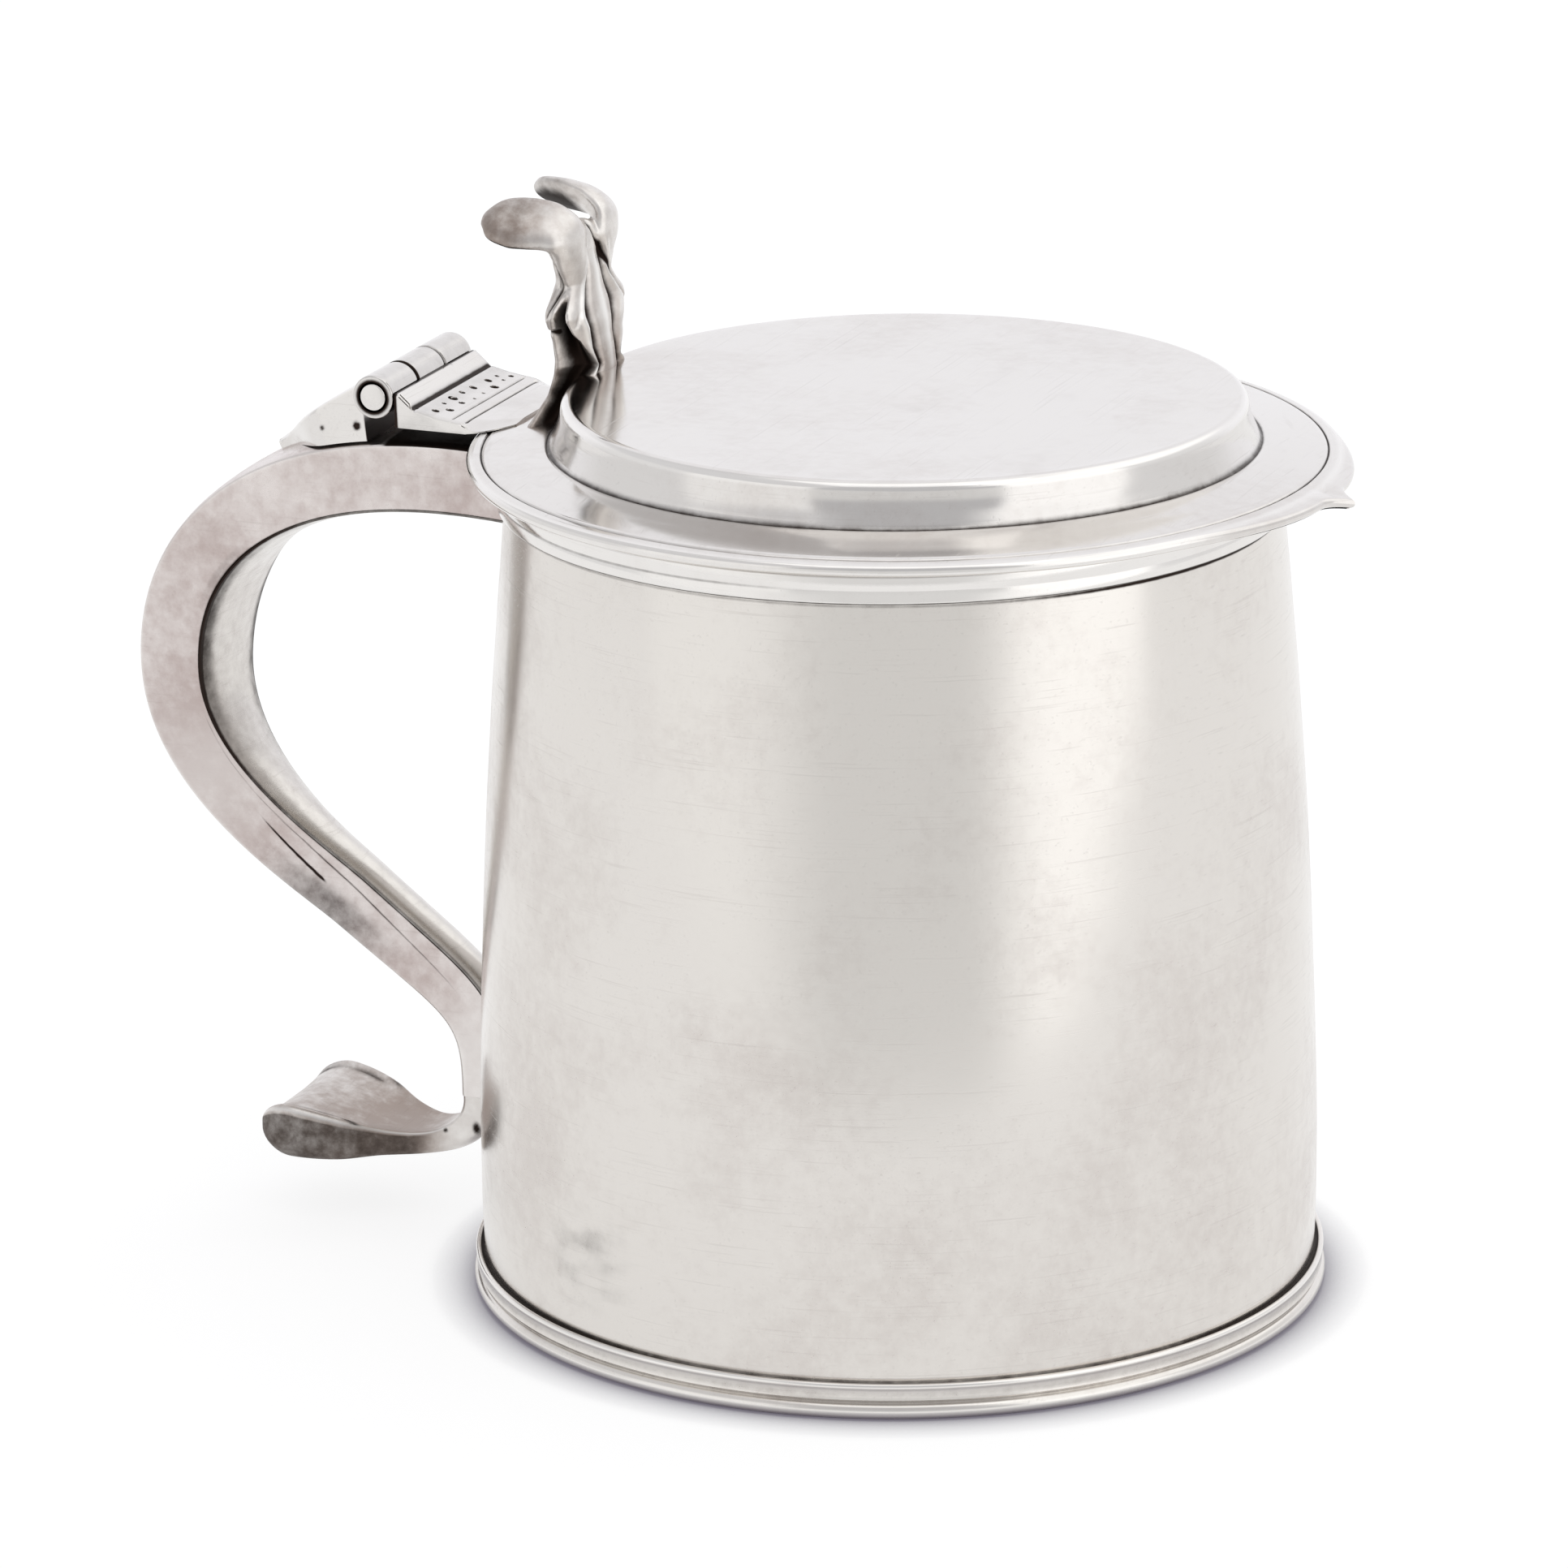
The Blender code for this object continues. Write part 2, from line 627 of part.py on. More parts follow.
def make_handle_plate(line):
    """The shaped plate on the handle's back that carries the outer knuckles."""
    front = HINGE.x - HANDLE_PLATE_FRONT
    length = sum((b[0] - a[0]).length for a, b in zip(line, line[1:]))
    start = share_behind(line, front)
    low = -HANDLE_CROWN - SEAM
    rings = []
    steps = 7
    for i in range(steps + 1):
        way = i / steps
        station = station_at(line, start + HANDLE_PLATE_LENGTH / length * way)
        half = handle_width(station[2]) / 2 * (1 - 0.9 * ease(way, 0.35, 1.0))
        rise = max(HINGE.z - station[0].z - HANDLE_PLATE_TIP, 0)
        high = low - HANDLE_PLATE_TIP - rise * (1 - way) ** 1.5
        rings.append(section(station, [(-half, low), (half, low), (half, high), (-half, high)]))
    plate = add_part("handle_hinge_plate", loft("handle_hinge_plate", rings))
    boolean(plate, rod("handle_plate_seat", KNUCKLE_RADIUS + RUN, HINGE_LENGTH * 2), "DIFFERENCE")


def make_terminal(line):
    """The thick end that curls away from the barrel, narrow at its neck and flared at its tip."""
    foot = line[-1][0]
    neck = foot + Vector((TERMINAL_NECK / 2, 0, -SEAM))
    low = neck + Vector((-TERMINAL_REACH * 0.33, 0, -TERMINAL_DROP))
    tip = neck + Vector((-TERMINAL_REACH, 0, TERMINAL_LIFT - TERMINAL_DROP))
    bend = TERMINAL_DROP * 0.7
    knots = [
        (neck, neck, neck - Vector((0, 0, bend))),
        (low, low + Vector((bend, 0, 0)), low - Vector((bend, 0, 0))),
        (tip, tip + Vector((bend, 0, 0)), tip),
    ]
    flare = ((0.0, HANDLE_WIDTH_FOOT), (0.40, TERMINAL_WIDTH * 0.38), (0.62, TERMINAL_WIDTH * 0.62))
    flare += ((0.82, TERMINAL_WIDTH * 0.94), (0.93, TERMINAL_WIDTH), (1.0, TERMINAL_WIDTH * 0.74))
    swell = ((0.0, TERMINAL_NECK), (0.40, TERMINAL_WAIST), (0.62, TERMINAL_THICKNESS * 0.62))
    swell += ((0.82, TERMINAL_THICKNESS * 0.95), (0.93, TERMINAL_THICKNESS), (1.0, TERMINAL_THICKNESS * 0.5))
    rings = []
    for station in stations(bezier_line(knots, HANDLE_STEPS)):
        half = between(flare, station[2]) / 2
        thick = between(swell, station[2]) / 2
        cut = thick * 0.35
        right = [(half - cut, -thick), (half, cut - thick), (half, thick - cut), (half - cut, thick)]
        rings.append(section(station, right + [(-side, depth) for side, depth in reversed(right)]))
    add_part("handle_terminal", loft("handle_terminal", rings), DARK_SILVER, 0.4)


def between(pairs, share):
    """The value at a share of the way, from (share, value) pairs."""
    for (a, first), (b, second) in zip(pairs, pairs[1:]):
        if share <= b:
            return first + (second - first) * ease(share, a, b)
    return pairs[-1][1]


def oval(centre, half_x, half_y):
    """A level ring of points."""
    angles = [math.tau * i / RING_POINTS for i in range(RING_POINTS)]
    return [centre + Vector((half_x * math.cos(a), half_y * math.sin(a), 0)) for a in angles]


def make_thumbpiece(lid_clearance):
    """A cast stem with a leaf that laps the crown's edge, forking into two lobes that curl back."""
    crown_wall = LID_SHIFT - CROWN_FOOT_RADIUS
    back = crown_wall - THUMB_BASE_DEPTH
    crown_edge = LID_SHIFT - CROWN_TOP_RADIUS
    toe = crown_edge + THUMB_TOE
    waist_x = crown_edge
    stem = back + THUMB_BASE_DEPTH * 0.3
    leaf = waist_x - THUMB_LEAF_DEPTH * 0.6
    leaf_z = CROWN_TOP_Z + THUMB_LEAF_HEIGHT
    waist_z = CROWN_TOP_Z + THUMB_WAIST_HEIGHT
    fork_z = CROWN_TOP_Z + LOBE_HEIGHT - LOBE_HALF_HEIGHT / 2
    waist_back = waist_x - THUMB_WAIST_DEPTH / 2
    waist_front = waist_x + THUMB_WAIST_DEPTH / 2
    flared_width = THUMB_STEM_WIDTH + (THUMB_BASE_WIDTH - THUMB_STEM_WIDTH) * 0.4
    levels = [
        (FLANGE_BOTTOM, back, crown_edge, THUMB_BASE_WIDTH),
        (CROWN_FOOT_Z - FLANGE_RISE / 2, back, crown_edge, THUMB_BASE_WIDTH),
        (CROWN_FOOT_Z + CROWN_HEIGHT * 0.4, back + THUMB_BASE_DEPTH * 0.2, toe, flared_width),
        (CROWN_TOP_Z, stem, toe, THUMB_STEM_WIDTH),
        (CROWN_TOP_Z + THUMB_LEAF_HEIGHT * 0.55, stem, toe - THUMB_TOE * 0.3, THUMB_STEM_WIDTH),
        (leaf_z, leaf, leaf + THUMB_LEAF_DEPTH, THUMB_LEAF_WIDTH),
        (waist_z, waist_back, waist_front, THUMB_WAIST_WIDTH),
        (fork_z, waist_back, waist_x + THUMB_WAIST_DEPTH / 4, THUMB_WAIST_WIDTH * 0.9),
    ]
    rings = []
    for z, rear, front, width in levels:
        rings.append(oval(Vector(((rear + front) / 2, 0, z)), (front - rear) / 2, width / 2))
    thumb = add_part("thumbpiece", loft("thumbpiece", rings), SILVER, 0.3)
    for side, word in ((-1, "near"), (1, "far")):
        waist = Vector((waist_x, side * THUMB_WAIST_WIDTH * 0.25, CROWN_TOP_Z + THUMB_WAIST_HEIGHT))
        lobe = Vector((waist_x - LOBE_BACK, side * LOBE_SPREAD, CROWN_TOP_Z + LOBE_HEIGHT))
        boolean(thumb, make_arm(word, waist, lobe), "UNION")
        boolean(thumb, make_lobe(word, lobe), "UNION")
    boolean(thumb, lid_clearance, "DIFFERENCE")
    return thumb


def make_arm(word, waist, lobe):
    rings = []
    for share in (0.0, 0.35, 0.7, 1.0):
        centre = waist.lerp(lobe, share)
        centre.x += LOBE_BACK * share * (1 - share)
        rings.append(oval(centre, LOBE_ARM_RADIUS, LOBE_ARM_RADIUS * (1 + share * 0.4)))
    return add_cutter("arm_" + word, loft("arm_" + word, rings))


def make_lobe(word, centre):
    build = bmesh.new()
    bmesh.ops.create_uvsphere(build, u_segments=20, v_segments=12, radius=1)
    bmesh.ops.scale(build, vec=(LOBE_HALF_LENGTH, LOBE_HALF_WIDTH, LOBE_HALF_HEIGHT), verts=build.verts)
    mesh = bpy.data.meshes.new("lobe_" + word)
    build.to_mesh(mesh)
    build.free()
    tool = add_cutter("lobe_" + word, smooth(mesh))
    tool.location = centre
    return tool


def hang_on_hinge(pieces):
    """Parents the pieces that swing to an empty on the hinge's axis."""
    axis = bpy.data.objects.new("lid_hinge_axis", None)
    axis.location = HINGE
    PARTS.objects.link(axis)
    for piece in pieces:
        piece.parent = axis
        piece.matrix_parent_inverse = Matrix.Translation(HINGE).inverted()


def main():
    make_barrel()
    make_foot()
    make_lip()
    line = handle_back()
    make_handle(line)
    make_handle_plate(line)
    make_terminal(line)
    lid, bezel = make_lid()
    lid_clearance = make_lid_clearance()
    lid_knuckle = make_hinge()
    lid_plate = make_lid_plate(lid_clearance)
    thumb = make_thumbpiece(lid_clearance)
    hang_on_hinge([lid, bezel, lid_knuckle, lid_plate, thumb])


clear_scene()
PARTS = new_collection("silver_tankard")
CUTTERS = new_collection("cutters")
main()
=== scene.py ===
"""Finished look of the silver tankard: smooth pieces over the frame's nodes, in old polished silver.

Lengths are millimetres, and each mesh is scaled to metres as it is made. The handle points to -X, the lid's
peak to +X, and the hinge lies along Y.
"""

import math

import bmesh
import bpy
import numpy as np
from mathutils import Matrix, Vector, noise
from mathutils.geometry import interpolate_bezier


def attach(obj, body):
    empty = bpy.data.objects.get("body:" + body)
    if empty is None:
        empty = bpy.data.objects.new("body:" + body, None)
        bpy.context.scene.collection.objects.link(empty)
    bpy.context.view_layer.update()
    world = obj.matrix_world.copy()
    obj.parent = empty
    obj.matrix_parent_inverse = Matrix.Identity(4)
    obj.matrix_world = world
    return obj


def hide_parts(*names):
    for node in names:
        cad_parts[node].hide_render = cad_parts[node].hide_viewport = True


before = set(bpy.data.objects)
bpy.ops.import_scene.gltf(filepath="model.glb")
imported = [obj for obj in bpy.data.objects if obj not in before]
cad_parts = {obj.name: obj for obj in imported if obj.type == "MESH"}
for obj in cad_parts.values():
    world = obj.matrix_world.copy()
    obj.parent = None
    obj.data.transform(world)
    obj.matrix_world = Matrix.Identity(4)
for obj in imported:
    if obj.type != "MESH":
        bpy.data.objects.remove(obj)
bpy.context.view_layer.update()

MM = 0.001
PHOTO_PIXELS, FOCAL_PIXELS, SENSOR = 1932, 10608.6, 36.0
FLOOR_SIZE, FLOOR_WHITE, CONTACT_WIDTH = 2.4, 0.76, 8.0  # metres, share of plain white, millimetres

# Sizes taken over from the frame
BODY_HEIGHT, BASE_RADIUS, RIM_RADIUS, SWELL, SWELL_SKEW, WALL = 121.7, 60.4, 55.4, 6.6, 0.7, 1.3
BASE_RECESS, BASE_THICKNESS = 0.8, 1.3
FOOT_HEIGHT, FOOT_BEAD, FOOT_OUT = 5.4, 2.5, 1.6
LIP_BOTTOM, LIP_RADIUS = 117.4, 57.0
LID_SHIFT, FLANGE_RADIUS, FLANGE_BOTTOM, FLANGE_TOP, FLANGE_EDGE = 1.7, 62.7, 122.0, 124.8, 1.7
CROWN_FOOT, CROWN_FOOT_Z, CROWN_TOP, CROWN_TOP_Z = 51.1, 126.4, 49.2, 132.8
LINE_RADIUS = 60.5
PEAK_TIP, PEAK_NOTCH, PEAK_LOBE, PEAK_SPREAD = 5.1, math.radians(4.2), 2.2, math.radians(34)
LID_SHEET = 1.3
BEZEL_RADIUS, BEZEL_THICKNESS, BEZEL_BOTTOM = 52.8, 1.2, 117.7
HINGE_X, HINGE_Z, HINGE_LENGTH = -75.4, 128.9, 28.4
KNUCKLE_RADIUS, PIN_RADIUS = 3.2, 2.0
HANDLE_TOP, HANDLE_REACH, HANDLE_SHOULDER, HANDLE_FOOT = 120.9, 117.0, 38.7, 19.5
HANDLE_RUN, HANDLE_RISE = 20.0, 24.7
HANDLE_WIDTHS, HANDLE_DEPTHS = (21.0, 7.2), (9.8, 7.2)  # at its top and at its foot
TERMINAL_REACH, TERMINAL_DROP, TERMINAL_LIFT = 33.0, 8.0, 2.0
VENT_RADIUS, VENT_RISE, VENT_DEPTH = 0.9, 6.0, 7.2
PLATE_START, PLATE_END, PLATE_HALF, PLATE_BOTTOM = -72.8, -54.6, 14.0, 124.7
SET_BACK, EASED = -71.95, -70.8  # the plate's start beside the outer knuckles, and where that evens out

TURN_STEPS, RING_STEPS, LID_STEPS = 240, 360, 720  # steps round a turned piece
RIGHT_X, RIGHT_Y = 0.9255, 0.3786  # towards the barrel's right side, as it stands in the photograph


# ---------------------------------------------------------------- colours and materials


def colour(code):
    """A hex sRGB colour as the linear values that a shader takes."""
    parts = [int(code[i : i + 2], 16) / 255 for i in (1, 3, 5)]
    linear = [c / 12.92 if c <= 0.04045 else ((c + 0.055) / 1.055) ** 2.4 for c in parts]
    return (*linear, 1.0)


def add(tree, kind, sockets=(), **settings):
    """One node: its settings, then its sockets by name or number, each a value or another node's output."""
    made = tree.nodes.new(kind)
    for key, value in settings.items():
        setattr(made, key, value)
    for key, value in dict(sockets).items():
        if isinstance(value, bpy.types.NodeSocket):
            tree.links.new(value, made.inputs[key])
        else:
            made.inputs[key].default_value = value
    return made


def per(mm):
    """Texture scale of a pattern whose features are this many millimetres across."""
    return 1 / (mm * MM)


def ramp(tree, value, low, high):
    """Runs from 0 at low to 1 at high, with eased ends."""
    return add(tree, "ShaderNodeMapRange", {0: value, 1: low, 2: high}, interpolation_type="SMOOTHSTEP").outputs[0]


def maths(tree, operation, *values):
    """The output of one sum, product or the like."""
    return add(tree, "ShaderNodeMath", dict(enumerate(values)), operation=operation).outputs[0]


def mixed(tree, share, first, second):
    """A colour between two others: the first at share 0, the second at share 1."""
    return add(tree, "ShaderNodeMix", {0: share, 6: first, 7: second}, data_type="RGBA").outputs[2]


def silver(name, clean, film, film_low, film_high, polish, dull):
    """Old silver. clean is the bare metal, and film the thin sulphide tarnish that lies on it in patches.

    The points' own dirt-and-shade value darkens creases and solder lines with dirt, and also lays painted shade
    into gaps, hollows and undersides; "worn" rubs the edges bright.
    """
    material = bpy.data.materials.new(name)
    material.use_nodes = True
    tree = material.node_tree
    shader = tree.nodes["Principled BSDF"]
    shader.inputs["Metallic"].default_value = 1.0
    place = add(tree, "ShaderNodeTexCoord").outputs["Object"]

    # Patches of tarnish a couple of fingers wide, broken up by a finer mottle
    wide = add(tree, "ShaderNodeTexNoise", {"Vector": place, "Scale": per(30), "Detail": 4.0, "Roughness": 0.55})
    mottle = add(tree, "ShaderNodeTexNoise", {"Vector": place, "Scale": per(2.2), "Detail": 5.0, "Roughness": 0.65})
    mottle = mottle.outputs[0]
    patches = ramp(tree, maths(tree, "MULTIPLY_ADD", mottle, 0.45, wide.outputs[0]), film_low, film_high)

    # Hair scratches from years of wiping, in two directions
    hairs = []
    for turn, stretch in (
        ((0.03, 0.02, 0.0), (per(14), per(14), per(0.3))),
        ((1.3, -0.4, 1.1), (per(0.4), per(22), per(0.4))),
    ):
        along = add(tree, "ShaderNodeMapping", {0: place, 2: turn, 3: stretch})
        hair = add(tree, "ShaderNodeTexNoise", {"Vector": along.outputs[0], "Scale": 1.0, "Detail": 2.0})
        hairs.append(ramp(tree, hair.outputs[0], 0.60, 0.76))
    scratches = maths(tree, "MAXIMUM", *hairs)

    grime_and_shade = add(tree, "ShaderNodeAttribute", attribute_name="grime_and_shade").outputs["Fac"]
    worn = add(tree, "ShaderNodeAttribute", attribute_name="worn").outputs["Fac"]
    lodged_and_shaded = maths(tree, "MULTIPLY", maths(tree, "MULTIPLY_ADD", mottle, 0.6, grime_and_shade), grime_and_shade)
    deposit_and_shade = ramp(tree, lodged_and_shaded, 0.10, 0.95)

    base = mixed(tree, patches, colour(clean), colour(film))
    base = mixed(tree, maths(tree, "MULTIPLY", scratches, 0.10), base, colour("#8F857F"))
    base = mixed(tree, worn, base, colour("#EFEDEA"))
    # The near-black mix is dirt in creases and solder lines, and painted shade in gaps, hollows and undersides
    base = mixed(tree, deposit_and_shade, base, colour("#2E2521"))
    tree.links.new(base, shader.inputs["Base Color"])

    # Polish is uneven: film and the dark dirt-and-shade mix scatter more, hair scratches a little
    gloss = maths(tree, "MULTIPLY_ADD", patches, dull - polish, polish)
    gloss = maths(tree, "MULTIPLY_ADD", scratches, 0.08, gloss)
    tree.links.new(maths(tree, "MULTIPLY_ADD", deposit_and_shade, 0.3, gloss), shader.inputs["Roughness"])

    height = maths(tree, "MULTIPLY_ADD", scratches, -0.5, mottle)
    bump = add(tree, "ShaderNodeBump", {"Height": height, "Strength": 0.25, "Distance": 0.02 * MM})
    tree.links.new(bump.outputs[0], shader.inputs["Normal"])
    return material


# Barrel and foot: pale warm silver with a faint film, wiped to a soft haze
WALL_SILVER = silver("old_polished_silver", "#DEDAD5", "#D1CBC6", 0.62, 1.05, 0.17, 0.25)
# Lid, lip and hinge: the same silver kept brighter, so that their edges still mirror the room
LID_SILVER = silver("bright_silver", "#DDDAD7", "#D1CCC8", 0.62, 1.05, 0.11, 0.18)
# Handle: the same silver, duller and pinker where hands and air have filmed it
HANDLE_SILVER = silver("filmed_silver", "#DCD5D2", "#BBADA9", 0.52, 0.92, 0.26, 0.38)
# Castings: greyer, with a brown film in their hollows, and painted shade in the thumbpiece's side hollows and under
# its lobes
CAST_SILVER = silver("cast_silver", "#DAD6D2", "#A0938B", 0.52, 0.92, 0.26, 0.38)
# Inside and underside: unpolished, grey
INNER_SILVER = silver("unpolished_silver", "#C6C1BC", "#968B86", 0.52, 0.92, 0.30, 0.45)


# ---------------------------------------------------------------- meshes


def ease(value, start, end):
    """Rises from 0 at start to 1 at end, with eased ends."""
    t = np.clip((np.asarray(value, float) - start) / (end - start), 0, 1)
    return t * t * (3 - 2 * t)


def bell(value, middle, half):
    """1 at the middle, falling to 0 at half away."""
    return 1 - ease(np.abs(np.asarray(value, float) - middle), 0, half)


def between(value, low, full, fading, high):
    """Rises from 0 at low to 1 at full, and falls from fading to 0 at high."""
    return ease(value, low, full) * (1 - ease(value, fading, high))


def from_axis(p, x=0.0):
    """Each point's distance from an upright axis at x."""
    return np.hypot(p[:, 0] - x, p[:, 1])


def from_hinge(p):
    """Each point's distance from the hinge's axis."""
    return np.hypot(p[:, 0] - HINGE_X, p[:, 2] - HINGE_Z)


def to_right(p):
    """How far each point lies towards the barrel's right side."""
    return RIGHT_X * p[:, 0] + RIGHT_Y * p[:, 1]


def at_front(p):
    """1 on the barrel's front, 0 on its sides and back."""
    return ease(RIGHT_Y * p[:, 0] - RIGHT_X * p[:, 1], 25, 58)


def dot_at(p, x, z, half, stretch=1.0):
    """1 at a place on a side, falling to 0 at half away."""
    return bell(np.hypot((p[:, 0] - x) * stretch, p[:, 2] - z), 0, half)


def mesh_of(build, name):
    """Ends a mesh under construction and gives the finished one."""
    mesh = bpy.data.meshes.new(name)
    build.to_mesh(mesh)
    build.free()
    return mesh


def placed(name, data):
    """A new object in the scene."""
    made = bpy.data.objects.new(name, data)
    bpy.context.scene.collection.objects.link(made)
    return made


def through(rows, count):
    """A smooth run of values through rows of numbers, by Catmull-Rom spline."""
    rows = np.array(rows, float)
    padded = np.vstack([2 * rows[0] - rows[1], rows, 2 * rows[-1] - rows[-2]])
    found = []
    for at in np.linspace(0, len(rows) - 1, count):
        i = min(int(at), len(rows) - 2)
        t = at - i
        a, b, c, d = padded[i : i + 4]
        straight = 2 * b + (c - a) * t
        found.append(0.5 * (straight + (2 * a - 5 * b + 4 * c - d) * t**2 + (3 * b - a - 3 * c + d) * t**3))
    return np.array(found)


def skin(rings, strip_ends=False):
    """A mesh over rings that have the same count of points, in millimetres.

    Each end is one flat face, or with strip_ends a strip of faces between the ring's two halves.
    """
    build = bmesh.new()
    rows = [[build.verts.new(point) for point in ring] for ring in rings]
    for first, second in zip(rows, rows[1:]):
        for i in range(len(first)):
            j = (i + 1) % len(first)
            build.faces.new((first[i], first[j], second[j], second[i]))
    for end in (rows[0], rows[-1]):
        if strip_ends:
            for i in range(len(end) // 2 - 1):
                build.faces.new((end[i], end[i + 1], end[-2 - i], end[-1 - i]))
        else:
            build.faces.new(end)
    return mesh_of(build, "skin")


def points_of(mesh):
    """A mesh's points as rows of x, y, z."""
    found = np.empty(len(mesh.vertices) * 3, np.float32)
    mesh.vertices.foreach_get("co", found)
    return found.reshape(-1, 3).astype(float)


def normals_of(mesh):
    """A mesh's point normals as rows of x, y, z."""
    found = np.empty(len(mesh.vertices) * 3, np.float32)
    mesh.vertex_normals.foreach_get("vector", found)
    return found.reshape(-1, 3).astype(float)


def move_points(mesh, points):
    """Puts a mesh's points in new places."""
    mesh.vertices.foreach_set("co", points.astype(np.float32).ravel())
    mesh.update()


def tidy_mesh(mesh, merge=0.001):
    """Joins points that meet and turns the faces outward."""
    build = bmesh.new()
    build.from_mesh(mesh)
    bmesh.ops.remove_doubles(build, verts=build.verts, dist=merge)
    bmesh.ops.recalc_face_normals(build, faces=build.faces)
    build.to_mesh(mesh)
    build.free()


def piece(name, mesh, body, nodes, material, grime_and_shade=None, worn=None, sharp=40):
    """A finished piece: its marks are worked out per point, then it is scaled to metres and rides on its body."""
    tidy_mesh(mesh)
    points, normals = points_of(mesh), normals_of(mesh)
    for word, rule in (("grime_and_shade", grime_and_shade), ("worn", worn)):
        values = np.clip(rule(points, normals), 0, 1) if rule else np.zeros(len(points))
        layer = mesh.attributes.new(word, "FLOAT", "POINT")
        layer.data.foreach_set("value", values.astype(np.float32))
    move_points(mesh, points * MM)
    mesh.shade_smooth()
    mesh.set_sharp_from_angle(angle=math.radians(sharp))
    mesh.materials.clear()
    mesh.materials.append(material)
    made = placed(name, mesh)
    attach(made, body)
    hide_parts(*nodes)


def plain_mesh(made):
    """The evaluated mesh of a helper object, which is then removed."""
    bpy.context.view_layer.update()
    mesh = bpy.data.meshes.new_from_object(made.evaluated_get(bpy.context.evaluated_depsgraph_get()))
    bpy.data.objects.remove(made)
    return mesh


def run_tree(mesh, tree, values):
    """Runs a geometry tree over a mesh, with its named inputs set first."""
    helper = placed("helper", mesh)
    step = helper.modifiers.new(tree.name, "NODES")
    step.node_group = tree
    for item in tree.interface.items_tree:
        if item.in_out == "INPUT" and item.name in values:
            step[item.identifier] = values[item.name]
    return plain_mesh(helper)


def new_tree(name, inputs):
    """A geometry tree with its named inputs, and the outputs that give their values."""
    tree = bpy.data.node_groups.new(name, "GeometryNodeTree")
    tree.interface.new_socket("Geometry", in_out="INPUT", socket_type="NodeSocketGeometry")
    for word, kind in inputs:
        tree.interface.new_socket(word, in_out="INPUT", socket_type=kind)
    tree.interface.new_socket("Geometry", in_out="OUTPUT", socket_type="NodeSocketGeometry")
    return tree, add(tree, "NodeGroupInput").outputs


def end_tree(tree, geometry, material):
    """Ends a tree with real geometry that carries its metal."""
    real = add(tree, "GeometryNodeRealizeInstances", {0: geometry})
    painted = add(tree, "GeometryNodeSetMaterial", {"Geometry": real.outputs[0], "Material": material})
    add(tree, "NodeGroupOutput", {0: painted.outputs[0]})


# ---------------------------------------------------------------- turned pieces

CORE = 1.0  # radius of the circle that a profile is carried round


def turning_tree():
    """Carries a profile round a circle, as a lathe does."""
    kinds = (("Steps", "NodeSocketInt"), ("Core", "NodeSocketFloat"), ("Metal", "NodeSocketMaterial"))
    tree, given = new_tree("turned_piece", kinds)
    outline = add(tree, "GeometryNodeMeshToCurve", {0: given["Geometry"]})
    circle = add(tree, "GeometryNodeCurvePrimitiveCircle", {"Resolution": given["Steps"], "Radius": given["Core"]})
    swept = add(tree, "GeometryNodeCurveToMesh", {0: circle.outputs[0], 1: outline.outputs[0]})
    joined = add(tree, "GeometryNodeMergeByDistance", {"Geometry": swept.outputs[0], "Distance": 0.0005})
    end_tree(tree, joined.outputs[0], given["Metal"])
    return tree


TURNING = turning_tree()


def turned(profile, closed, material, steps=TURN_STEPS):
    """A mesh turned from (radius, height) points about Z."""
    mesh = bpy.data.meshes.new("profile")
    edges = [(i, i + 1) for i in range(len(profile) - 1)]
    if closed:
        edges.append((len(profile) - 1, 0))
    mesh.from_pydata([(r - CORE, -z, 0) for r, z in profile], edges, [])
    return run_tree(mesh, TURNING, {"Steps": steps, "Core": CORE, "Metal": material})


def arc(centre, radius, start, end, count):
    """Points of an arc from one angle to another, in degrees."""
    angles = np.radians(np.linspace(start, end, count))
    return [(centre[0] + radius * math.cos(a), centre[1] + radius * math.sin(a)) for a in angles]


def wall_radius(z):
    """The barrel's outside radius at a height: a taper with a slight swell."""
    share = min(max(z / BODY_HEIGHT, 0.0), 1.0)
    return BASE_RADIUS + (RIM_RADIUS - BASE_RADIUS) * share + SWELL * share**SWELL_SKEW * (1 - share)


def hammered(points, amount, size):
    """Slow unevenness left by raising sheet metal with a hammer."""
    return amount * np.array([noise.noise(Vector(p / size)) for p in points])


def away_from_axis(points, offset):
    """Points moved out from the upright axis."""
    radius = np.maximum(from_axis(points), 0.001)
    moved = points.copy()
    moved[:, 0] += points[:, 0] / radius * offset
    moved[:, 1] += points[:, 1] / radius * offset
    return moved


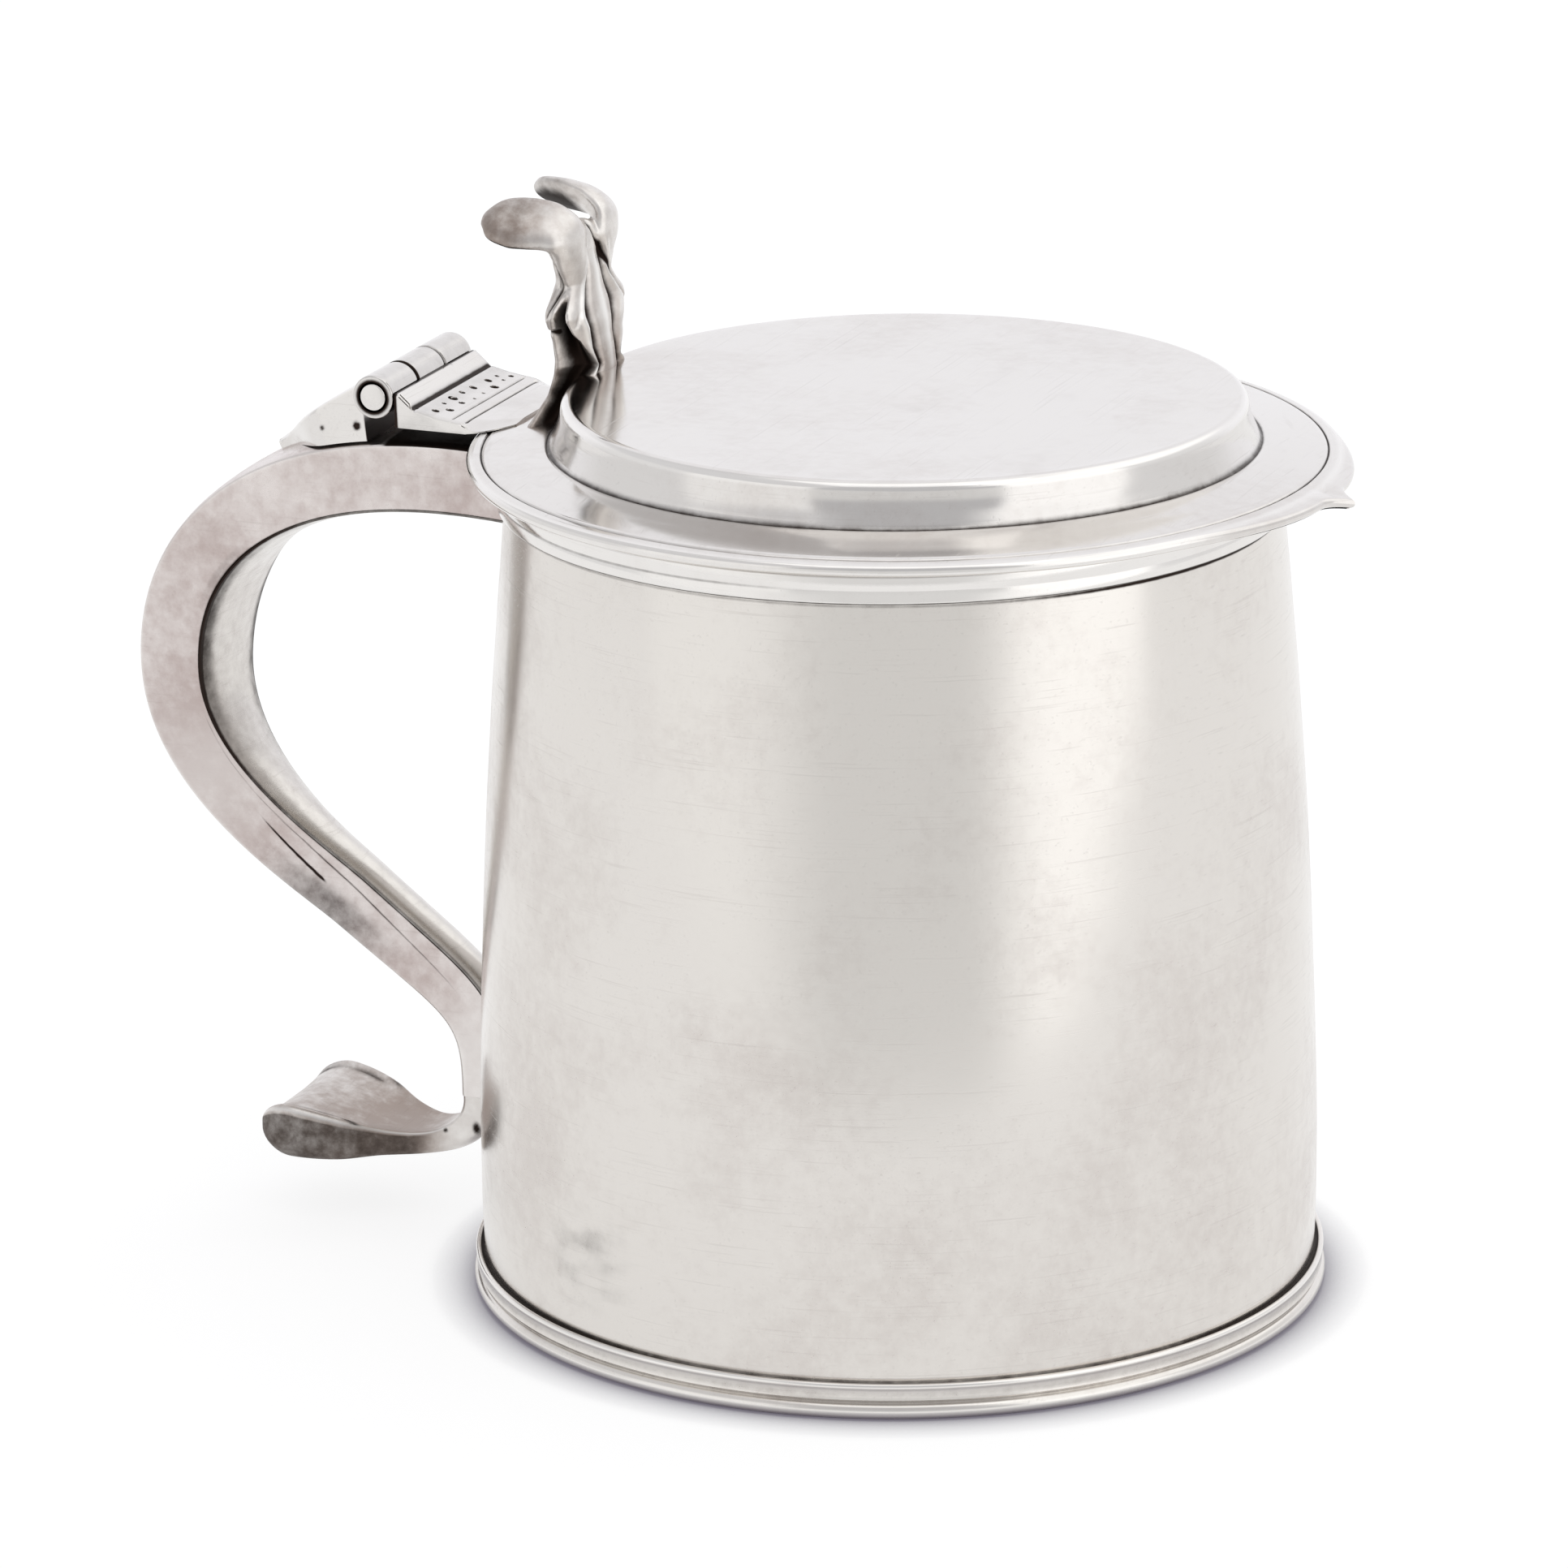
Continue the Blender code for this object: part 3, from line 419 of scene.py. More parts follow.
def make_barrel():
    """The tapered wall, a little uneven between its foot and its lip."""
    lip_line = LIP_BOTTOM - 0.4
    heights = np.linspace(BASE_RECESS, BODY_HEIGHT, 120)
    lines = [z + d for z in (FOOT_HEIGHT, lip_line) for d in np.linspace(-0.75, 0.75, 11)]
    outside = sorted([*heights, *lines])
    profile = [(wall_radius(z), z) for z in outside] + [(wall_radius(z) - WALL, z) for z in heights[::-3]]
    mesh = turned(profile, True, WALL_SILVER, RING_STEPS)
    points = points_of(mesh)
    free = between(points[:, 2], 4, 16, 106, 116)
    uneven = hammered(points, 0.16, 34) + hammered(points, 0.05, 11)
    move_points(mesh, away_from_axis(points, uneven * free))

    def grime_and_shade(p, n):
        outside = from_axis(p) > np.array([wall_radius(z) - WALL / 2 for z in p[:, 2]])
        # The line over the foot is paler at the front
        lines = (0.7 - 0.35 * at_front(p)) * bell(p[:, 2], FOOT_HEIGHT + 0.1, 0.6)
        # The one under the lip is painted shadow, blackest on the right
        lines += (0.55 + 0.45 * ease(to_right(p), 5, 40)) * bell(p[:, 2], lip_line, 0.6)
        root = bell(np.hypot(p[:, 1], p[:, 2] - 22), 5, 3.5) * (p[:, 0] < 0) * 0.5
        # A patch of scuffs low on the near left, drawn out sideways
        streaks = np.clip(0.85 + 0.6 * hammered(p * (0.3, 0.3, 1.0), 1.0, 1.7), 0, 1)
        patch = bell(np.hypot(p[:, 0] + 25.8, p[:, 1] + 55.4), 0, 15) * bell(p[:, 2], 17, 13)
        stain = 0.5 * streaks * np.sqrt(patch)
        return np.where(outside, lines + root + stain, 0.1)

    piece("barrel", mesh, "vessel", ["body_wall"], WALL_SILVER, grime_and_shade)


def make_base():
    """The disc that closes the barrel, set in from the table."""
    top = BASE_RECESS + BASE_THICKNESS
    radius = wall_radius(BASE_RECESS) - WALL - 0.3
    ring = [(r, BASE_RECESS + 0.12 * math.cos(r / 6) ** 8) for r in np.linspace(0, radius, 60)]
    mesh = turned(ring + [(r, top) for r in np.linspace(radius, 0, 12)], False, INNER_SILVER)
    edge = lambda p, n: 0.8 * ease(from_axis(p), radius - 4, radius)
    piece("base", mesh, "vessel", ["base_plate"], INNER_SILVER, edge)


def make_foot():
    """A rolled top edge, a shallow hollow band, a cut line and a plain bead."""
    out = wall_radius(FOOT_HEIGHT) + FOOT_OUT
    seat = wall_radius(FOOT_HEIGHT) - 0.2
    profile = [(seat, FOOT_HEIGHT - 0.45), (out - 1.35, FOOT_HEIGHT - 0.4), (out - 1.05, FOOT_HEIGHT - 0.15)]
    profile += arc((out - 0.75, FOOT_HEIGHT - 0.5), 0.5, 100, -20, 9)
    for t in np.linspace(0, 1, 9):
        profile.append((out - 0.42 - 0.12 * math.sin(math.pi * t), FOOT_HEIGHT - 0.9 - 1.5 * t))
    profile += [(out - 0.75, FOOT_BEAD + 0.22), (out - 0.8, FOOT_BEAD)]
    profile += arc((out - 1.15, FOOT_BEAD / 2), FOOT_BEAD / 2 - 0.1, 75, -75, 17)
    profile += [(out - 1.0, 0.0), (wall_radius(0) - 0.2, 0.0)]
    mesh = turned(profile, True, WALL_SILVER, RING_STEPS)

    def grime_and_shade(p, n):
        r = from_axis(p)
        # The lines are paler at the front
        front = at_front(p)
        line = (0.72 - 0.15 * front) * bell(p[:, 2], FOOT_BEAD + 0.1, 0.42) * (r > out - 1.0)
        pits = 0.42 * bell(p[:, 2], 3.7, 1.1)
        seam = (1.0 - 0.3 * front) * (1 - ease(r, out - 1.1, out - 0.85)) * (p[:, 2] > 4)
        return line + pits + seam + 0.5 * (p[:, 2] < 0.2)

    worn = lambda p, n: 0.8 * bell(p[:, 2], FOOT_HEIGHT - 0.35, 0.4) + 0.6 * bell(p[:, 2], FOOT_BEAD / 2, 0.8)
    piece("foot", mesh, "vessel", ["foot_moulding"], WALL_SILVER, grime_and_shade, worn)


def make_lip():
    """Two rounded edges with a shallow groove between them."""
    middle = LIP_BOTTOM + 2.0
    profile = [(wall_radius(LIP_BOTTOM) - 0.2, LIP_BOTTOM)]
    profile += arc((LIP_RADIUS - 0.55, LIP_BOTTOM + 0.45), 0.42, -80, 0, 6)
    cut = ((0.1, -0.35), (0.2, -0.1), (0.2, 0.1), (0.02, 0.35))
    profile += [(LIP_RADIUS - depth, middle + rise) for depth, rise in cut]
    profile += arc((LIP_RADIUS - 0.5, BODY_HEIGHT - 0.5), 0.48, 0, 90, 7)
    profile += [(wall_radius(BODY_HEIGHT) - 0.2, BODY_HEIGHT)]
    mesh = turned(profile, True, LID_SILVER, RING_STEPS)

    def grime_and_shade(p, n):
        left = ease(-to_right(p), -5, 30)
        groove = (0.12 + 0.5 * left) * bell(p[:, 2], middle, 0.5) * (from_axis(p) > LIP_RADIUS - 0.6)
        # The dark lines at the lip's bottom edge and at its top, under the lid's flange, are painted shade
        return groove + bell(p[:, 2], LIP_BOTTOM, 0.55) + 0.6 * bell(p[:, 2], BODY_HEIGHT, 0.6)

    rubbed = lambda p, n: 0.5 * (from_axis(p) > LIP_RADIUS - 0.6)
    piece("lip", mesh, "vessel", ["lip_moulding"], LID_SILVER, grime_and_shade, rubbed)


# ---------------------------------------------------------------- lid


def flange_height(radius):
    """Top of the flange, which slopes from the crown's foot out to its edge."""
    return FLANGE_TOP + (CROWN_FOOT_Z - FLANGE_TOP) * (FLANGE_RADIUS - radius) / (FLANGE_RADIUS - CROWN_FOOT)


def peak_growth(angle):
    """How far the flange's edge stands out past its circle, at an angle from the front."""
    a = abs(angle)
    if a >= PEAK_NOTCH:
        share = (PEAK_SPREAD - a) / (PEAK_SPREAD - PEAK_NOTCH)
        return PEAK_LOBE * math.sin(max(share, 0) * math.pi / 2) ** 2
    return PEAK_LOBE + (PEAK_TIP - PEAK_LOBE) * (1 - a / PEAK_NOTCH) ** 2


def make_lid():
    """A raised crown with a flat top, and a flange with one cut line and a drooping peak."""
    corner = (CROWN_TOP - 1.7, CROWN_TOP_Z - 1.7)
    roll = FLANGE_EDGE / 2
    edge = (FLANGE_RADIUS - roll, FLANGE_TOP - roll)
    profile = [(r, CROWN_TOP_Z - 0.25 * bell(r, 0, 44)) for r in np.linspace(0, CROWN_TOP - 1.9, 40)]
    profile += arc(corner, 1.7, 90, 18, 12)
    side = profile[-1]
    for t in np.linspace(0.08, 1, 12):
        bow = 0.25 * math.sin(math.pi * t)
        drop = (CROWN_FOOT_Z + 0.7 - side[1]) * t
        profile.append((side[0] + (CROWN_FOOT - 0.6 - side[0]) * t - bow, side[1] + drop))
    profile += [(CROWN_FOOT - 0.35, CROWN_FOOT_Z + 0.05), (CROWN_FOOT, CROWN_FOOT_Z - 0.15)]
    profile.append((CROWN_FOOT + 0.4, flange_height(CROWN_FOOT + 0.4)))
    profile += [(r, flange_height(r)) for r in np.linspace(CROWN_FOOT + 1, LINE_RADIUS - 0.5, 16)]
    line = ((-0.25, 0.05), (0.0, 0.32), (0.25, 0.05))
    profile += [(LINE_RADIUS + out, flange_height(LINE_RADIUS) - depth) for out, depth in line]
    profile += [(r, flange_height(r)) for r in np.linspace(LINE_RADIUS + 0.45, edge[0] - 0.2, 5)]
    profile += arc(edge, roll, 82, -90, 20)
    hollow = CROWN_FOOT - LID_SHEET
    ceiling = CROWN_TOP_Z - LID_SHEET
    profile += [(LIP_RADIUS + 1.5, FLANGE_TOP - FLANGE_EDGE - 0.1), (LIP_RADIUS, FLANGE_BOTTOM)]
    profile += [(hollow + 0.4, FLANGE_BOTTOM), (hollow, FLANGE_BOTTOM + 0.3), (hollow, CROWN_FOOT_Z - LID_SHEET)]
    profile += arc((CROWN_TOP - LID_SHEET - 1.4, ceiling - 1.4), 1.4, 10, 90, 8)
    profile += [(r, ceiling - 0.25 * bell(r, 0, 44)) for r in np.linspace(CROWN_TOP - 4, 0, 16)]
    mesh = turned(profile, False, LID_SILVER, LID_STEPS)

    points = points_of(mesh)
    radius = from_axis(points)
    angle = np.arctan2(points[:, 1], points[:, 0])
    growth = np.array([peak_growth(a) for a in angle])
    top_side = points[:, 2] > FLANGE_TOP - FLANGE_EDGE + 0.02
    above, below = ease(radius, LINE_RADIUS + 0.3, FLANGE_RADIUS), ease(radius, CROWN_FOOT, FLANGE_RADIUS - roll)
    moved = away_from_axis(points, growth * np.where(top_side, above, below))
    droop = 1.1 * np.clip(growth / PEAK_TIP, 0, 1) * ease(radius, LINE_RADIUS, FLANGE_RADIUS - roll)
    moved[:, 2] -= np.where(points[:, 2] < FLANGE_TOP + 0.3, droop, 0)
    flat = radius < CROWN_TOP - 2
    moved[:, 2] += np.where(flat, hammered(points, 0.10, 30) * bell(radius, 0, CROWN_TOP - 2) ** 0.5, 0)
    crown_side = (radius > CROWN_TOP - 3) & (radius < CROWN_FOOT + 2)
    moved = away_from_axis(moved, np.where(crown_side, hammered(points, 0.10, 12), 0))
    # The crown's foot was raised by eye: it sits a little higher on the near right
    upper = points[:, 2] > CROWN_FOOT_Z - 0.8
    moved[:, 2] += 0.35 * np.cos(angle + math.radians(50)) * bell(radius, CROWN_FOOT, 5) * upper
    moved[:, 0] += LID_SHIFT
    move_points(mesh, moved)

    def grime_and_shade(p, n):
        r = from_axis(p, LID_SHIFT)
        up = p[:, 2] > FLANGE_BOTTOM + 0.3
        cut = bell(r, LINE_RADIUS, 0.36) * (n[:, 2] > 0) * (p[:, 2] > 124)
        foot = 0.85 * bell(r, CROWN_FOOT - 0.1, 0.8) * (np.abs(p[:, 2] - CROWN_FOOT_Z) < 1.1)
        return np.where(up, cut + foot, 0.2) + 0.2 * (n[:, 2] < -0.6)

    def worn(p, n):
        r = from_axis(p, LID_SHIFT)
        return 0.7 * bell(r, CROWN_TOP - 0.4, 0.9) * (p[:, 2] > 131.5) + 0.6 * bell(r, FLANGE_RADIUS - 0.4, 0.9)

    piece("lid_raised", mesh, "lid", ["lid"], LID_SILVER, grime_and_shade, worn)


def make_bezel():
    """The ring under the lid that centres it in the mouth."""
    inner, top = BEZEL_RADIUS - BEZEL_THICKNESS, BODY_HEIGHT
    ring = [(BEZEL_RADIUS, top)] + arc((BEZEL_RADIUS - 0.4, BEZEL_BOTTOM + 0.4), 0.4, 0, -90, 5)
    ring += arc((inner + 0.4, BEZEL_BOTTOM + 0.4), 0.4, -90, -180, 5) + [(inner, top)]
    dull = lambda p, n: 0.3 + 0.6 * ease(p[:, 2], top - 1.1, top)
    piece("bezel", turned(ring, True, INNER_SILVER), "lid", ["lid_bezel"], INNER_SILVER, dull)


# ---------------------------------------------------------------- hinge


def along_hinge(mesh, y):
    """Lays a turned mesh along the hinge's axis."""
    p = points_of(mesh)
    move_points(mesh, np.stack([p[:, 0] + HINGE_X, p[:, 2] + y, p[:, 1] + HINGE_Z], 1))
    return mesh


def make_knuckle(name, node, body, y):
    """One third of the hinge's barrel, bored for the pin."""
    half = HINGE_LENGTH / 6 - 0.2
    bore = PIN_RADIUS + 0.3
    profile = [(bore, -half)] + arc((KNUCKLE_RADIUS - 0.35, -half + 0.35), 0.35, -90, 0, 5)
    profile += [(KNUCKLE_RADIUS, t) for t in np.linspace(-half + 0.6, half - 0.6, 12)]
    profile += arc((KNUCKLE_RADIUS - 0.35, half - 0.35), 0.35, 0, 90, 5) + [(bore, half)]
    mesh = along_hinge(turned(profile, True, LID_SILVER, 96), y)

    def grime_and_shade(p, n):
        # Darker in the two joints between the knuckles, more in the near one, and in the bore
        inner = np.abs(p[:, 1]) < HINGE_LENGTH / 2 - 1
        joints = ease(np.abs(p[:, 1] - y), half - 0.45, half) * np.where(p[:, 1] < 0, 0.9, 0.2) * inner
        return 0.38 + joints + (from_hinge(p) < bore + 0.05)

    piece(name, mesh, body, [node], LID_SILVER, grime_and_shade)


def make_hinge():
    """Three knuckles and the pin through them."""
    third = HINGE_LENGTH / 3
    make_knuckle("knuckle_near", "handle_knuckle_near", "vessel", -third)
    make_knuckle("knuckle_far", "handle_knuckle_far", "vessel", third)
    make_knuckle("knuckle_lid", "lid_knuckle", "lid", 0)
    half = HINGE_LENGTH / 2
    end = [(0, half), (PIN_RADIUS * 0.6, half - 0.05)] + arc((PIN_RADIUS - 0.25, half - 0.35), 0.25, 80, 0, 6)
    profile = end + [(r, -z) for r, z in reversed(end)]
    mesh = along_hinge(turned(profile, False, LID_SILVER, 64), 0)
    rim = lambda p, n: 1.0 * (np.abs(p[:, 1]) < half - 0.3)
    piece("pin", mesh, "vessel", ["hinge_pin"], LID_SILVER, rim)


def punching_tree():
    """Two staggered rows of punch marks cut into a plate: small domes, jittered as if struck by hand."""
    kinds = (("Count", "NodeSocketInt"), ("Pitch", "NodeSocketFloat"))
    kinds += (("First Row", "NodeSocketVector"), ("Second Row", "NodeSocketVector"))
    kinds += (("Mark Size", "NodeSocketFloat"), ("Seed", "NodeSocketInt"), ("Metal", "NodeSocketMaterial"))
    tree, given = new_tree("punched_plate", kinds)
    step = add(tree, "ShaderNodeCombineXYZ", {1: given["Pitch"]})
    rows = add(tree, "GeometryNodeJoinGeometry")
    for word in ("First Row", "Second Row"):
        line = {"Count": given["Count"], "Start Location": given[word], "Offset": step.outputs[0]}
        tree.links.new(add(tree, "GeometryNodeMeshLine", line).outputs[0], rows.inputs[0])
    limits = {0: (-0.5, -0.8, 0.0), 1: (0.5, 0.8, 0.0), "Seed": given["Seed"]}
    wander = add(tree, "FunctionNodeRandomValue", limits, data_type="FLOAT_VECTOR")
    struck = add(tree, "GeometryNodeSetPosition", {"Geometry": rows.outputs[0], "Offset": wander.outputs[0]})
    dome = add(tree, "GeometryNodeMeshIcoSphere", {"Radius": given["Mark Size"], "Subdivisions": 2})
    weight = add(tree, "FunctionNodeRandomValue", {2: 0.55, 3: 1.2, "Seed": given["Seed"]}, data_type="FLOAT")
    strikes = {"Points": struck.outputs[0], "Instance": dome.outputs[0], "Scale": weight.outputs[1]}
    marks = add(tree, "GeometryNodeInstanceOnPoints", strikes)
    solid = add(tree, "GeometryNodeRealizeInstances", {0: marks.outputs[0]})
    solids = {"Mesh 1": given["Geometry"], "Mesh 2": solid.outputs[0]}
    cut = add(tree, "GeometryNodeMeshBoolean", solids, operation="DIFFERENCE")
    end_tree(tree, cut.outputs[0], given["Metal"])
    return tree


# Grooves across the lid's hinge plate: x, half width, and how far to each side they run
PLATE_LINES = ((-69.2, 0.5, 13.9), (-63.3, 0.3, 13.2), (-61.3, 0.4, 13.2))


def plate_top(x):
    """Top of the lid's hinge plate before it is cut: a step, a slope and a fan that thins out on the flange."""
    places = (-72.9, -71.4, -69.0, -66.0, -61.0, -57.5, -54.6)
    return float(np.interp(x, places, (129.7, 129.7, 127.62, 126.9, 126.2, 126.15, 126.05)))


def make_lid_plate():
    """The plate that joins the lid to its knuckle, with its grooves and punch marks."""
    rings = []
    over = LID_SHIFT - FLANGE_RADIUS
    for along in np.linspace(PLATE_START, PLATE_END, 92):
        half = PLATE_HALF - 4.0 * (max(along + 60.0, 0) / 5.4) ** 2
        on_flange = flange_height(min(LID_SHIFT - along, FLANGE_RADIUS)) - 0.1
        low = PLATE_BOTTOM if along < over + 0.4 else on_flange
        thin = float(ease(along, over - 1.0, over + 2.5))
        top, bottom = [], []
        for y in np.linspace(-half, half, 57):
            # Soldered to the lid's own knuckle, but set back from the two outer ones, which it turns past
            start = PLATE_START if abs(y) < HINGE_LENGTH / 6 else SET_BACK
            share = (along - PLATE_START) / (EASED - PLATE_START)
            x = along if along > EASED else start + (EASED - start) * share
            high = plate_top(x)
            for middle, width, reach in PLATE_LINES:
                high -= 0.38 * float(bell(x, middle, width)) * float(1 - ease(abs(y), reach - 0.6, reach))
            edge = 0.35 * float(ease(abs(y), half - 0.5, half)) * (1 - thin)
            fan = thin * float(ease(abs(y), half - 3.5, half)) * max(high - low - 0.2, 0)
            top.append((x, y, high - edge - fan))
            bottom.append((x, y, min(low, high - edge - fan - 0.1)))
        rings.append(top + bottom[::-1])
    mesh = skin(rings, strip_ends=True)
    tidy_mesh(mesh)
    values = {"Count": 7, "Pitch": 3.6, "First Row": (-66.9, -11.4, 127.25), "Second Row": (-65.2, -9.4, 126.95)}
    mesh = run_tree(mesh, punching_tree(), values | {"Mark Size": 0.68, "Seed": 7, "Metal": LID_SILVER})

    def grime_and_shade(p, n):
        y = np.abs(p[:, 1])
        up = n[:, 2] > 0.2
        cuts = np.zeros(len(p))
        for at, width, reach in PLATE_LINES:
            cuts += 0.95 * bell(p[:, 0], at, width) * (1 - ease(y, reach - 0.6, reach)) * up
        sunk = np.array([plate_top(x) for x in p[:, 0]]) - p[:, 2]
        marks = ((p[:, 0] > -68) & (p[:, 0] < -64.2) & (sunk > 0.06) & (sunk < 0.7) & (y < 13.2)) * 1.0
        dirt = 0.4 * bell(p[:, 0], -67.5, 5.5) * up
        # Its underside and the strip where it starts beside the outer knuckles are darkened as painted shade
        return cuts + marks + dirt + 0.45 * (n[:, 2] < -0.5) + ease(-p[:, 0], 71.3, 71.9)

    piece("lid_plate", mesh, "lid", ["lid_hinge_plate"], LID_SILVER, grime_and_shade)


# ---------------------------------------------------------------- handle


def bezier_line(knots, steps):
    """Points of a curve through knots, each a place, its arriving and its leaving control."""
    points = [knots[0][0]]
    for (start, _, leave), (end, arrive, _) in zip(knots, knots[1:]):
        points += interpolate_bezier(start, leave, arrive, end, steps + 1)[1:]
    return points


def stations(points):
    """For each point of a line in the XZ plane: the point, its inward normal and its share of the length."""
    lengths = [0.0]
    for a, b in zip(points, points[1:]):
        lengths.append(lengths[-1] + (b - a).length)
    found = []
    for i, point in enumerate(points):
        along = (points[min(i + 1, len(points) - 1)] - points[max(i - 1, 0)]).normalized()
        found.append((point, Vector((-along.z, 0, along.x)), lengths[i] / lengths[-1]))
    return found


def handle_back():
    """Stations down the handle's back, from the lip to its foot."""
    root = Vector((-wall_radius(HANDLE_TOP) + WALL, 0, HANDLE_TOP))
    wide = Vector((-HANDLE_REACH, 0, HANDLE_TOP - HANDLE_SHOULDER))
    foot = Vector((-wall_radius(HANDLE_FOOT) - 7.5, 0, HANDLE_FOOT))
    slope = foot + Vector((-HANDLE_RUN, 0, HANDLE_RISE))
    leave_root = Vector(((wide.x - root.x) * 0.79, 0, HANDLE_SHOULDER * 0.125))
    reach_wide = Vector((0, 0, HANDLE_SHOULDER * 0.48))
    leave_wide = Vector((0, 0, (slope.z - wide.z) * 0.56))
    lean = Vector((HANDLE_RUN * 0.91, 0, -HANDLE_RISE * 0.54))
    reach_foot = Vector((0, 0, HANDLE_RISE * 0.51))
    knots = [
        (root, root, root + leave_root),
        (wide, wide + reach_wide, wide + leave_wide),
        (slope, slope - lean / 3, slope + lean),
        (foot, foot + reach_foot, foot),
    ]
    return stations(bezier_line(knots, 120))


def handle_width(share):
    """Width at a share of the back line's length."""
    top, foot = HANDLE_WIDTHS
    return top + (foot - top) * float(ease(share, 0.36, 0.82))


def handle_depth(share):
    """Depth from the back to the seam at a share of the back line's length."""
    top, foot = HANDLE_DEPTHS
    return top + (foot - top) * share**4


def section(station, corners):
    """A ring of points at a station, from pairs of side and depth."""
    point, inward, _ = station
    return [point + Vector((0, side, 0)) + inward * depth for side, depth in corners]


def shell_corners(share):
    """A crowned back, softened edges and flat sides that run down to the seam."""
    half = handle_width(share) / 2
    depth = handle_depth(share)
    soft = 0.6
    back = [(half * s, -0.6 * (1 - s * s) - 0.02) for s in np.linspace(0, 1, 9)[:-1] * (1 - soft / half)]
    turns = np.radians(np.linspace(10, 90, 6))
    edge = [(half - soft + soft * math.sin(a), soft - soft * math.cos(a)) for a in turns]
    side = [(half, d) for d in np.linspace(soft + 0.4, depth, 42)]
    right = back[1:] + edge[1:] + side + [(half - 1.2, depth)]
    return [back[0]] + right + [(-s, d) for s, d in reversed(right)]


def strap_corners(share):
    """The crowned strip that closes the handle's open side."""
    half = handle_width(share) / 2
    near = handle_depth(share) + 0.08
    face = [(half * s, near + 0.3 + 1.2 * (1 - abs(s) ** 2.2)) for s in np.linspace(1, -1, 29)]
    return [(half, near)] + face + [(-half, near)]


def drilled(mesh, place, radius, length):
    """The mesh with a round hole sunk into it along X, its drill centred on place."""
    build = bmesh.new()
    turn = Matrix.Translation(place) @ Matrix.Rotation(math.pi / 2, 4, "Y")
    bmesh.ops.create_cone(
        build, cap_ends=True, segments=28, radius1=radius, radius2=radius, depth=length, matrix=turn
    )
    drill, helper = placed("drill", mesh_of(build, "drill")), placed("helper", mesh)
    step = helper.modifiers.new("drill", "BOOLEAN")
    step.operation, step.solver, step.object = "DIFFERENCE", "EXACT", drill
    cut = plain_mesh(helper)
    bpy.data.objects.remove(drill)
    return cut


def make_handle(line):
    """The folded shell of the handle and the strap that closes it."""
    line = [s for s in line if s[0].x < -55.3]
    mesh = skin([section(s, shell_corners(s[2])) for s in line])
    tidy_mesh(mesh)
    # The vent that lets hot air out of the hollow handle while it is soldered
    mesh = drilled(mesh, line[-1][0] + Vector((0, 0, VENT_RISE)), VENT_RADIUS, VENT_DEPTH)
    spots = np.array([s[0] for s in line])
    inward = np.array([s[1] for s in line])
    shares = np.array([s[2] for s in line])

    def lay(p):
        """Depth from the back line and share of its length, for each point."""
        nearest = np.array([int(np.argmin(np.sum((spots[:, (0, 2)] - q[[0, 2]]) ** 2, 1))) for q in p])
        return np.sum((p - spots[nearest]) * inward[nearest], 1), shares[nearest]

    def grime_and_shade(p, n):
        d, s = lay(p)
        deep = np.array([handle_depth(v) for v in s])
        sides = np.abs(n[:, 1]) > 0.5
        seam = 0.6 * ease(d, deep - 0.3, deep)
        # A fine scored line leaves the seam and draws away from it towards the foot
        apart = np.interp(s, (0.54, 0.73, 0.92), (0.5, 1.2, 3.1))
        scored = 0.55 * bell(d, deep - apart, 0.3) * between(s, 0.5, 0.58, 0.9, 0.94)
        brown = 0.45 * ease(d, deep - 2.2, deep - 1.2) * bell(s, 0.36, 0.14)
        # A crack opens in each flat side where the sheet was bent
        crack = bell(d, 6.55 - 17.8 * (s - 0.663), 0.34) * between(s, 0.65, 0.72, 0.762, 0.772)
        tarnish = 0.39 * bell(s, 0.78, 0.17) * (1 - ease(d, 3.0, 6.5)) + 0.23 * bell(s, 0.79, 0.15)
        # Painted shade on the handle's top, under the hinge plate
        hinge_shade = 0.85 * ease(p[:, 0], -77, -75) * (n[:, 2] > 0.3)
        return (seam + scored + brown) * (d > 2) + 0.95 * crack * sides + tarnish + hinge_shade

    def worn(p, n):
        d, s = lay(p)
        edges = 0.4 * bell(d, 0.25, 0.5) * (np.abs(n[:, 1]) > 0.15)
        return edges + 0.6 * ease(s, 0.9, 0.96) + 0.35 * bell(s, 0.62, 0.1)

    piece("handle", mesh, "vessel", ["handle_shell"], HANDLE_SILVER, grime_and_shade, worn)

    strap = [s for s in line if s[2] <= 0.93]
    mesh = skin([section(s, strap_corners(s[2])) for s in strap])

    def dark(p, n):
        s = lay(p)[1]
        half = np.array([handle_width(v) / 2 for v in s])
        edge = 0.38 + 0.3 * ease(np.abs(p[:, 1]), half - 0.3, half)
        return edge + 0.35 * ease(np.abs(p[:, 1]), half - 4.5, half - 1.0) * bell(s, 0.45, 0.3)

    piece("handle_strap", mesh, "vessel", ["handle_inner_strap"], WALL_SILVER, dark)


def station_at(line, share):
    """The station at a share of a line's length."""
    for before, after in zip(line, line[1:]):
        if share <= after[2]:
            mix = (share - before[2]) / (after[2] - before[2])
            return before[0].lerp(after[0], mix), before[1].lerp(after[1], mix).normalized(), share
    return line[-1]


